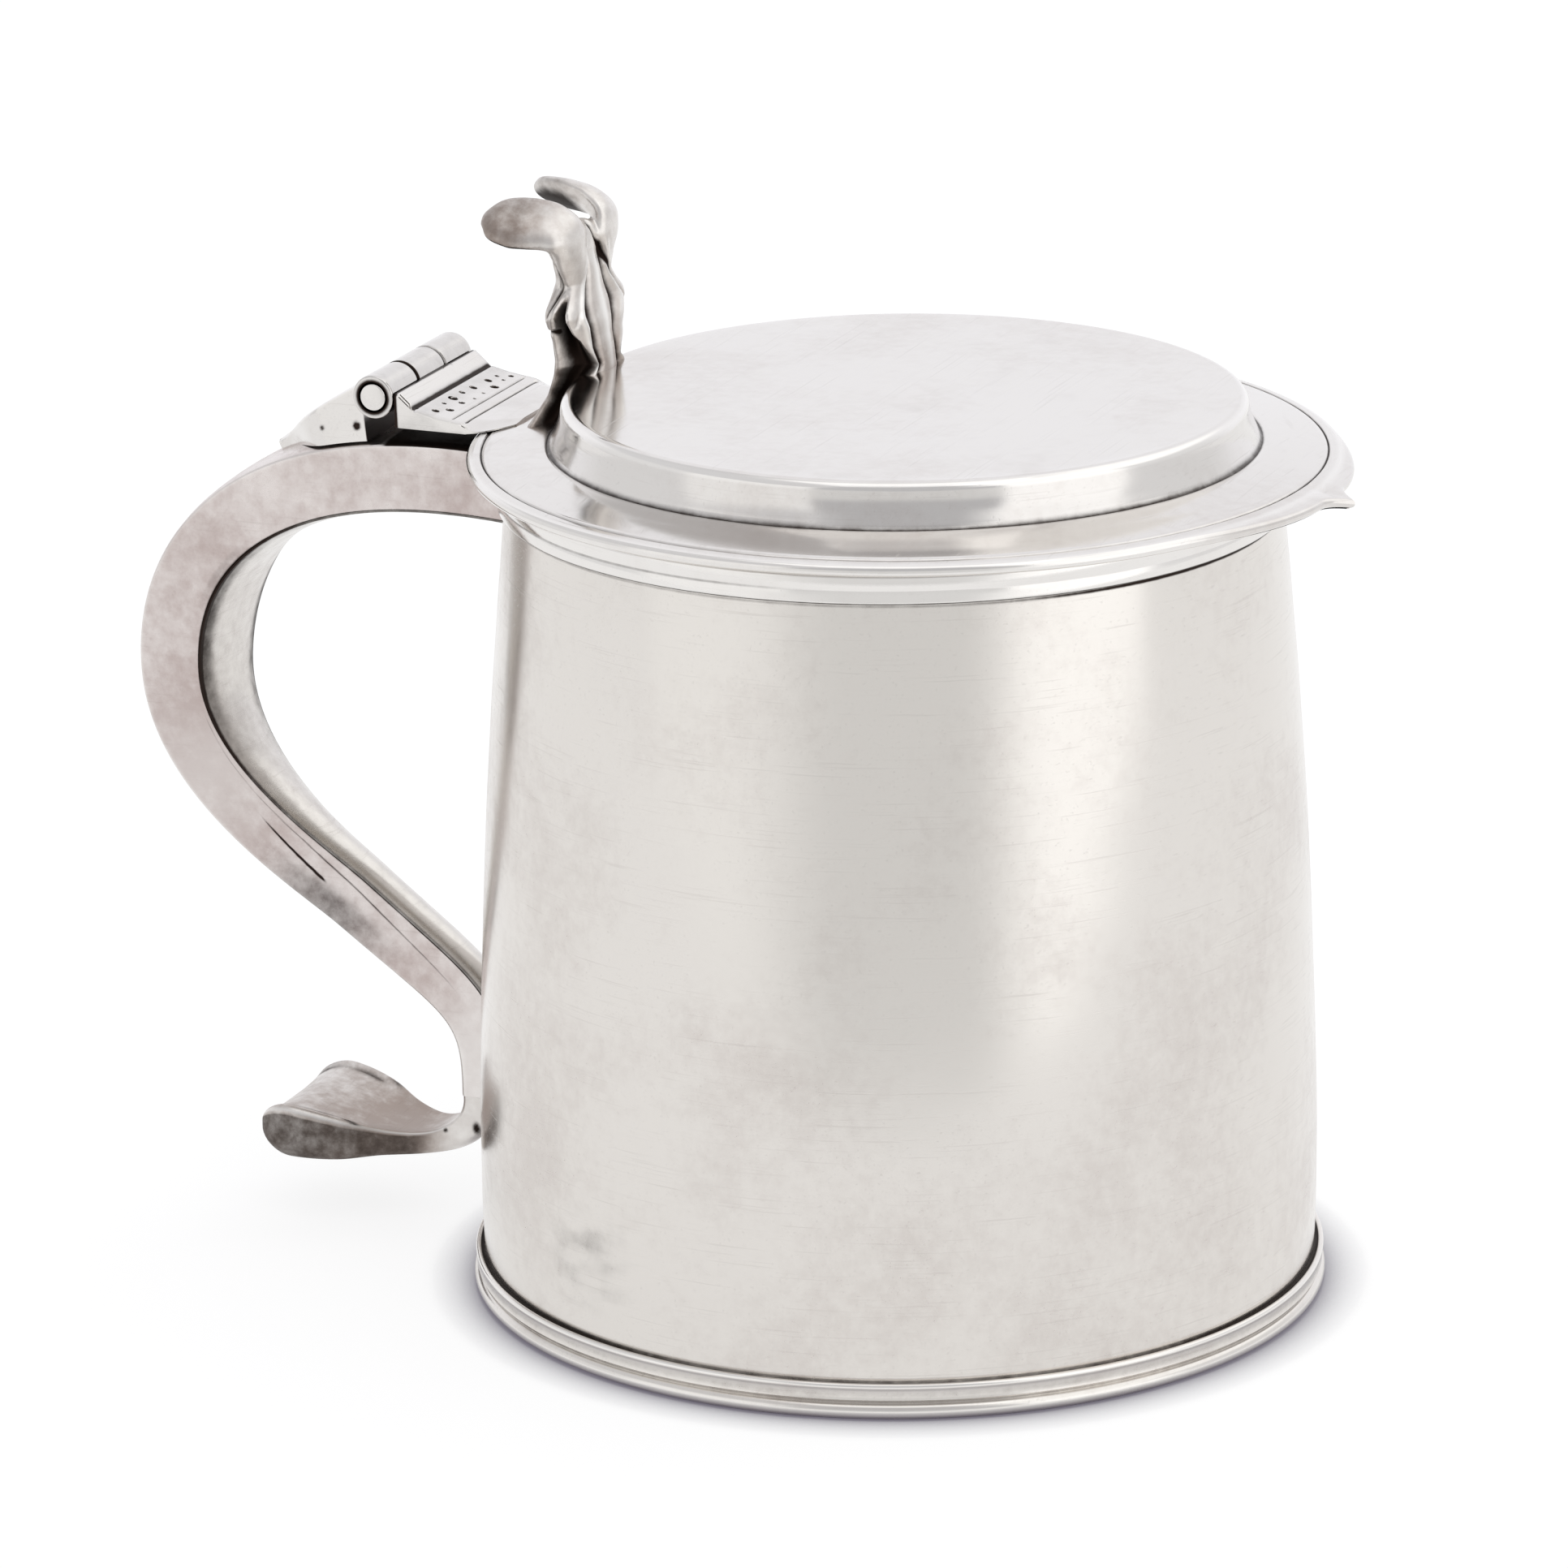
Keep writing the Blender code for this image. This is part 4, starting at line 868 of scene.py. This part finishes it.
def make_handle_plate(line):
    """The shaped plate on the handle's back that carries the outer knuckles."""
    length = sum((b[0] - a[0]).length for a, b in zip(line, line[1:]))
    start = next(s[2] for s in line if s[0].x <= HINGE_X - 2.2)
    rings = []
    steps = 70
    for i in range(steps + 1):
        way = i / steps
        station = station_at(line, start + 19.0 / length * way)
        half = handle_width(station[2]) / 2 * (1 - 0.9 * float(ease(way, 0.35, 1.0)))
        rise = max(HINGE_Z - station[0].z - 1.0, 0)
        high = -1.9 - rise * (1 - way) ** 1.5
        soft = min(0.5, half * 0.4)
        right = [(half, d) for d in np.linspace(-0.5, high + soft, 16)]
        right += [(half - soft * 0.3, high + soft * 0.3), (half - soft, high)]
        top = [(half * s, high - 0.15 * (1 - s * s)) for s in np.linspace(0.85, 0, 6) * (1 - soft / half)]
        ring = right + top + [(-s, d) for s, d in reversed(right + top[:-1])]
        rings.append(section(station, ring))
    mesh = skin(rings)
    tidy_mesh(mesh)
    points = points_of(mesh)
    # Its front is hollowed to take the outer knuckles
    seat = KNUCKLE_RADIUS - 0.3
    near = from_hinge(points) < seat
    points[near, 0] = HINGE_X - np.sqrt(np.maximum(seat**2 - (points[near, 2] - HINGE_Z) ** 2, 0))
    move_points(mesh, points)
    front = float(points[:, 0].max())

    def grime_and_shade(p, n):
        pits = (dot_at(p, -79.7, 123.4, 1.1) + 0.7 * dot_at(p, -85.3, 122.6, 0.8)) * (np.abs(p[:, 1]) > 7)
        face = 0.9 * ease(p[:, 0], front - 0.9, front) * (n[:, 0] > 0.5)
        return face + pits + 0.2 * (np.abs(n[:, 1]) > 0.7)

    worn = lambda p, n: 0.5 * (n[:, 2] > 0.3)
    piece("handle_plate", mesh, "vessel", ["handle_hinge_plate"], LID_SILVER, grime_and_shade, worn)


def make_terminal(line):
    """The flared end: flat sides, a rounded underside and a hollowed top with a raised rim."""
    neck = line[-1][0] + Vector((2.8, 0, -0.02))
    low = neck + Vector((-TERMINAL_REACH * 0.33, 0, -TERMINAL_DROP))
    tip = neck + Vector((-TERMINAL_REACH, 0, TERMINAL_LIFT - TERMINAL_DROP))
    bend = 5.6
    knots = [
        (neck, neck, neck - Vector((0, 0, bend))),
        (low, low + Vector((bend, 0, 0)), low - Vector((bend, 0, 0))),
        (tip, tip + Vector((bend, 0, 0)), tip),
    ]
    line = stations(bezier_line(knots, 40))
    shares = np.linspace(0, 1, 400)
    sizes = ((7.2, 5.6), (7.4, 4.6), (9.4, 3.6), (14.4, 4.4), (21.0, 7.0), (23.8, 8.5), (23.8, 8.6))
    flare, swell = through(sizes, len(shares)).T
    nose = [station_at(line, share) for share in (0.985, 0.993, 0.998)]
    rings = []
    for station in sorted(line + nose, key=lambda found: found[2]):
        close = math.sqrt(max(1 - (max(station[2] - 0.85, 0) / 0.15) ** 2, 0.002))
        half = float(np.interp(station[2], shares, flare)) / 2 * (0.78 + 0.22 * close)
        thick = float(np.interp(station[2], shares, swell)) / 2 * close
        soft = thick * 0.32
        hollow = min(1.1, thick * 0.4) * float(ease(station[2], 0.2, 0.6))
        across = np.linspace(0, 1, 10)[:-1] * (1 - soft / half)
        top = [(half * s, -thick + hollow * (1 - abs(s) ** 3)) for s in across]
        turns = np.radians(np.linspace(0, 90, 6))
        rim = [(half - soft + soft * math.sin(a), -thick + soft - soft * math.cos(a)) for a in turns]
        belly = soft * 2
        side = [(half, d) for d in np.linspace(soft - thick, thick - belly, 8)[1:]]
        under = arc((half - belly, thick - belly), belly, 0, 90, 7)[1:]
        right = top[1:] + rim + side + under
        rings.append(section(station, [top[0]] + right + [(0, thick)] + [(-s, d) for s, d in reversed(right)]))
    mesh = skin(rings)

    def grime_and_shade(p, n):
        out = ease(-p[:, 0], 69, 77)
        flank = 0.66 * (1 - ease(n[:, 2], 0.1, 0.4)) * out
        pits = 0.9 * dot_at(p, -66.3, 14.6, 2.2, 1.6) + 0.8 * dot_at(p, -71.2, 13.9, 0.8)
        # Painted shade in the hollow along the inside of the rim near the tip
        beside = 0.5 * bell(np.abs(p[:, 1]), 9.0, 0.9) * (n[:, 2] > 0.5) * ease(-p[:, 0], 76, 82)
        return flank + pits + beside + 0.22 * (n[:, 2] > 0.3) * out

    def worn(p, n):
        rim = 0.75 * bell(n[:, 2], 0.6, 0.4) * ease(np.abs(n[:, 1]), 0.2, 0.4)
        return np.maximum(rim * ease(-p[:, 0], 68, 72), 0.6 * ease(p[:, 0], -76, -68))

    piece("terminal", mesh, "vessel", ["handle_terminal"], CAST_SILVER, grime_and_shade, worn, sharp=60)


# ---------------------------------------------------------------- thumbpiece


def oval(centre, half_x, half_y, power=2.0, count=40):
    """A level ring of points; a higher power squares it up."""
    ring = []
    for a in np.linspace(0, math.tau, count, endpoint=False):
        c, s = math.cos(a), math.sin(a)
        shape = (abs(c) ** power + abs(s) ** power) ** (-1 / power)
        ring.append(centre + Vector((half_x * c * shape, half_y * s * shape, 0)))
    return ring


# Each arm rises from the stem and bends over into a drooping leaf-shaped lobe:
# x, distance off the middle, z, half width, half depth, roll in degrees
ARM = (
    (-47.9, 3.0, 138.0, 3.0, 2.2, 0),
    (-47.9, 3.8, 145.0, 3.2, 2.1, 0),
    (-47.7, 4.9, 148.6, 3.5, 2.0, 2),
    (-47.5, 6.0, 151.4, 3.9, 1.9, 8),
    (-47.9, 6.8, 153.6, 4.2, 1.9, 18),
    (-49.7, 7.5, 154.8, 4.5, 1.9, 29),
    (-52.2, 8.2, 155.2, 4.7, 1.8, 34),
    (-55.0, 9.0, 155.3, 4.6, 1.6, 36),
    (-57.2, 9.7, 155.3, 3.6, 1.4, 37),
    (-58.7, 10.0, 155.2, 2.1, 1.0, 37),
    (-59.4, 10.2, 155.1, 0.2, 0.15, 37),
)
FAR_LIFT = 0.45  # the far lobe was cast a little higher than the near one
CAST_VOXEL = 0.24  # fine enough to keep the leaf's ribs


def make_arm(side):
    """The solid of one arm: side is -1 for the near one and 1 for the far one."""
    rows = through(ARM, 110)
    if side > 0:
        rows[:, 2] += FAR_LIFT * ease(rows[:, 2], 149, 154)
        rows[:, 0] += 0.3 * ease(rows[:, 2], 149, 152) * ease(rows[:, 0], -57, -52)
    rings = []
    for i, (x, y, z, wide, deep, roll) in enumerate(rows):
        ahead, behind = rows[min(i + 1, len(rows) - 1)], rows[max(i - 1, 0)]
        along = Vector((ahead - behind)[:3]).normalized()
        across = (Vector((0, 1, 0)) - along * along.y).normalized()
        up = along.cross(across)
        turn = math.radians(roll)
        across, up = across * math.cos(turn) + up * math.sin(turn), up * math.cos(turn) - across * math.sin(turn)
        ring = []
        for a in np.linspace(0, math.tau, 40, endpoint=False):
            spot = Vector((x, y, z)) + across * max(wide, 0.1) * math.cos(a) + up * max(deep, 0.1) * math.sin(a)
            ring.append((spot.x, spot.y * side, spot.z))
        rings.append(ring)
    return skin(rings)


def join(meshes):
    """Several meshes in one."""
    build = bmesh.new()
    for mesh in meshes:
        tidy_mesh(mesh)
        build.from_mesh(mesh)
    return mesh_of(build, "joined")


def softened(mesh, rounds, voxel=None):
    """A lightly smoothed mesh, after overlapping solids got one closed skin where a voxel size is given."""
    helper = placed("helper", mesh)
    if voxel:
        one_skin = helper.modifiers.new("one_skin", "REMESH")
        one_skin.mode = "VOXEL"
        one_skin.voxel_size = voxel
    soft = helper.modifiers.new("softened", "SMOOTH")
    soft.factor = 0.5
    soft.iterations = rounds
    return plain_mesh(helper)


def make_thumbpiece():
    """A cast stem with a back plate that flares onto the flange, a fluted front leaf and two curled lobes."""
    # Rings of the stem: height, rear and front x, width, squareness
    levels = (
        (FLANGE_BOTTOM + 2.6, -53.8, -46.6, 28.0, 3.0),
        (125.2, -53.6, -46.6, 27.6, 3.0),
        (127.0, -52.6, -46.0, 23.6, 3.0),
        (129.5, -51.6, -44.8, 19.2, 3.0),
        (132.6, -51.0, -43.7, 16.8, 2.8),
        (135.0, -50.9, -43.9, 16.4, 2.6),
        (138.0, -50.9, -44.4, 16.8, 3.0),
        (140.0, -50.7, -44.6, 18.6, 4.5),
        (141.8, -50.6, -45.0, 20.8, 5.0),
        (142.8, -50.5, -45.2, 20.2, 5.0),
        (144.6, -50.3, -45.6, 16.6, 4.5),
        (147.0, -50.1, -45.9, 12.8, 4.0),
        (149.6, -50.0, -46.4, 11.0, 3.4),
        (152.0, -50.2, -46.5, 9.6, 3.0),
        (153.6, -50.0, -46.9, 7.0, 2.4),
        (154.3, -49.4, -47.6, 3.0, 2.0),
    )
    rings = []
    for z, rear, front, width, power in levels:
        rings.append(oval(Vector(((rear + front) / 2, 0, z)), (front - rear) / 2, width / 2, power))
    solids = [skin(rings)] + [make_arm(side) for side in (-1, 1)]
    mesh = softened(join(solids), 7, CAST_VOXEL)

    p, n = points_of(mesh), normals_of(mesh)
    y = np.abs(p[:, 1])
    z = p[:, 2]
    half = np.interp(z, [v[0] for v in levels], [v[3] / 2 for v in levels])

    # Hollow in each side between the back plate and the front leaf
    heights = (124, 130, 134, 137, 139.5, 141.3, 144)
    middle = np.interp(z, heights, (-50.2, -48.4, -46.2, -47.0, -47.5, -47.5, -47.2))
    room = np.interp(z, heights, (2.6, 2.9, 3.3, 2.5, 1.7, 1.2, 0.6))
    side_hollow = bell(p[:, 0], middle, room) * between(z, 123.5, 126.5, 141.5, 145.5) * ease(y, 1.5, 4.5)
    p[:, 1] -= np.sign(p[:, 1]) * side_hollow * np.minimum(half * 0.5, 5.0)

    # Front tongue: a broad ridge down its middle, a groove and a thin raised rib on each side of that
    spread = y / np.maximum(half, 1)
    front = ease(n[:, 0], 0.05, 0.6) * between(z, 131.5, 133.5, 148, 152)
    ridge = front * bell(spread, 0, 0.2)
    groove = front * bell(spread, 0.42, 0.2)
    rib = front * bell(spread, 0.68, 0.12)
    # Crease from the fork out to each leaf tip
    path = np.interp(z, (139.5, 142.7, 146.4, 149.5, 151.8, 154), (9.4, 7.3, 4.7, 2.7, 1.2, 0.3))
    crease = bell(y, path, 0.8) * between(z, 140, 141, 153.5, 155) * ease(n[:, 0], 0.2, 0.5)
    crease *= np.where(p[:, 1] < 0, 0.35, 1.0)
    # The leaf's side is creased too, from under the arm back to the tip
    path = np.interp(z, (142.1, 146.1, 150), (-49.7, -47.9, -48.8))
    side_crease = bell(p[:, 0], path, 0.6) * between(z, 141.2, 142.2, 149, 151)
    crease += 0.8 * side_crease * ease(np.abs(n[:, 1]), 0.3, 0.6)
    # Small nick under each leaf tip, and ribs on the back plate
    nick = bell(z, 139.4, 0.6) * ease(spread, 0.75, 0.95) * (p[:, 0] < -48.5)
    rear = ease(-n[:, 0], 0.3, 0.8) * between(z, 128, 131, 146, 149)
    ribs = rear * (1 - np.cos(spread * math.tau * 2)) / 2
    depth = groove * 0.8 - rib * 0.4 - ridge * 0.2 + crease * 0.7 + nick * 0.5 + ribs * 0.22
    p -= n * depth[:, None]
    p[:, 2] = np.maximum(p[:, 2], FLANGE_BOTTOM + 1.2)
    move_points(mesh, p)
    mesh = softened(mesh, 3)
    film = 0.43 * ease(-p[:, 0], 49.5, 53.5) * ease(z, 150.5, 152)
    # Painted shade under the lobes
    under = 0.45 * ease(-n[:, 2], 0.3, 0.8) * ease(z, 150, 152)
    # The side hollows are darkened as painted shade; the grooves, creases, nicks and ribs keep a dark film
    marks = side_hollow**0.6 + 0.8 * groove + crease + 0.8 * nick + 0.4 * ribs + film + under
    handled = 0.34 * ease(p[:, 0], -52, -48.5) * ease(z, 134, 140)
    rubbed = 0.9 * rib + 0.7 * ridge + handled
    dark, bright = lambda *_: marks, lambda *_: rubbed
    piece("thumbpiece_cast", mesh, "lid", ["thumbpiece"], CAST_SILVER, dark, bright, sharp=75)


# ---------------------------------------------------------------- floor, light and camera


def make_stage():
    """A plain white table that runs back behind the object and ends a forearm in front of it."""
    turn = (0.0, 0.0, math.radians(22.3))
    bpy.ops.mesh.primitive_plane_add(size=FLOOR_SIZE, location=(-0.345, 0.842, 0.0), rotation=turn)
    floor = bpy.context.object
    floor.name = "floor"
    material = bpy.data.materials.new("white_floor")
    material.use_nodes = True
    tree = material.node_tree
    paint = tree.nodes["Principled BSDF"]
    paint.inputs["Base Color"].default_value = colour("#FAFAFB")
    paint.inputs["Roughness"].default_value = 0.9
    paint.inputs["Specular IOR Level"].default_value = 0.0
    # What the camera and the metal see of the floor is mostly plain white; the object's shadow stays in the rest
    rays = add(tree, "ShaderNodeLightPath").outputs
    mirrored = maths(tree, "MAXIMUM", rays["Is Glossy Ray"], rays["Is Transmission Ray"])
    lift = maths(tree, "MULTIPLY", maths(tree, "MAXIMUM", rays["Is Camera Ray"], mirrored), FLOOR_WHITE)
    # Close round the foot, where little light gets in, the white darkens too
    near = add(tree, "ShaderNodeAmbientOcclusion", {"Distance": CONTACT_WIDTH * MM}, samples=8).outputs["AO"]
    open_floor = add(tree, "ShaderNodeMapRange", {0: near, 1: 0.46, 2: 1.0}).outputs[0]
    tone = mixed(tree, open_floor, colour("#6A6573"), colour("#FFFFFF"))
    white = add(tree, "ShaderNodeEmission", {0: tone, 1: 1.06})
    both = add(tree, "ShaderNodeMixShader", {0: lift, 1: paint.outputs[0], 2: white.outputs[0]})
    # Its front edge fades out, so that no hard line of it shows from behind or in the barrel
    reach = add(tree, "ShaderNodeSeparateXYZ", {0: add(tree, "ShaderNodeTexCoord").outputs["Object"]}).outputs[1]
    clear = add(tree, "ShaderNodeBsdfTransparent")
    shown = ramp(tree, reach, -FLOOR_SIZE / 2, 0.1 - FLOOR_SIZE / 2)
    faded = add(tree, "ShaderNodeMixShader", {0: shown, 1: clear.outputs[0], 2: both.outputs[0]})
    tree.links.new(faded.outputs[0], tree.nodes["Material Output"].inputs[0])
    floor.data.materials.append(material)


def make_light():
    """An even white room and one broad lamp overhead."""
    world = bpy.data.worlds.new("soft_room")
    bpy.context.scene.world = world
    world.use_nodes = True
    tree = world.node_tree
    look = add(tree, "ShaderNodeTexCoord").outputs["Generated"]
    # A white room: a wall of diffused light behind, a broad softbox on the left, a narrow bright one on the right,
    # and between them the greyer gap where the camera stands
    level = add(tree, "ShaderNodeVectorMath", {0: look, 1: (1.0, 1.0, 0.0)}, operation="MULTIPLY").outputs[0]
    level = add(tree, "ShaderNodeVectorMath", {0: level}, operation="NORMALIZE").outputs[0]
    ahead, aside = [
        add(tree, "ShaderNodeVectorMath", {0: level, 1: way}, operation="DOT_PRODUCT").outputs["Value"]
        for way in ((0.379, -0.925, 0.0), (0.925, 0.379, 0.0))
    ]
    up = add(tree, "ShaderNodeSeparateXYZ", {0: look}).outputs[2]
    gap = mixed(tree, ramp(tree, up, 0.08, 0.24), colour("#CBCBCB"), colour("#B1B1B3"))
    # The strips' edges are soft low down, where the barrel mirrors them, and sharper higher up
    high = ramp(tree, up, -0.15, 0.1)
    edges = []
    for soft, sharp in (((-0.8, -0.25), (-0.565, -0.48)), ((0.3, 0.72), (0.48, 0.565))):
        pair = {2: ramp(tree, aside, *soft), 3: ramp(tree, aside, *sharp)}
        edges.append(add(tree, "ShaderNodeMix", {0: high} | pair).outputs[0])
    left = mixed(tree, edges[0], colour("#E3E3E3"), gap)
    right = mixed(tree, edges[1], left, colour("#FBFBFB"))
    side = colour("#D1D1D2")
    front = mixed(tree, ramp(tree, maths(tree, "ABSOLUTE", aside), 0.955, 0.995), right, side)
    behind = mixed(tree, ramp(tree, ahead, -0.8, -0.4), colour("#E1E1E4"), side)
    room = mixed(tree, ramp(tree, ahead, 0.0, 0.3), behind, front)
    # High up, the right side is lit and the left side is not
    above = ramp(tree, up, 0.35, 0.55)
    room = mixed(tree, maths(tree, "MULTIPLY", above, ramp(tree, aside, 0.3, 0.65)), room, colour("#F6F6F6"))
    room = mixed(tree, maths(tree, "MULTIPLY", above, ramp(tree, aside, -0.3, -0.65)), room, colour("#C4C4C6"))
    room = mixed(tree, ramp(tree, up, 0.86, 0.97), room, colour("#D6D6D7"))
    tree.links.new(room, tree.nodes["Background"].inputs[0])
    tree.nodes["Background"].inputs[1].default_value = 1.4
    lamp = bpy.data.lights.new("overhead_softbox", "AREA")
    lamp.size = 1.0
    lamp.energy = 1.0
    made = placed("overhead_softbox", lamp)
    made.location = (0.15, -0.25, 1.3)
    made.rotation_euler = (Vector((0, 0, 0.08)) - made.location).to_track_quat("-Z", "Y").to_euler()


def make_camera():
    """The camera that was fitted to the photograph."""
    lens = bpy.data.cameras.new("camera")
    lens.sensor_width = SENSOR
    lens.lens = FOCAL_PIXELS / PHOTO_PIXELS * SENSOR
    lens.clip_start, lens.clip_end = 0.01, 20.0
    made = placed("camera", lens)
    made.location = (0.43908, -1.10673, 0.44117)
    made.rotation_euler = [math.radians(a) for a in (72.8847, 0.6352, 22.2244)]
    bpy.context.scene.camera = made


make_barrel()
make_base()
make_foot()
make_lip()
make_lid()
make_bezel()
make_hinge()
make_lid_plate()
back_line = handle_back()
make_handle(back_line)
make_handle_plate(back_line)
make_terminal(back_line)
make_thumbpiece()
make_stage()
make_light()
make_camera()
bpy.context.scene.view_settings.view_transform = "Standard"
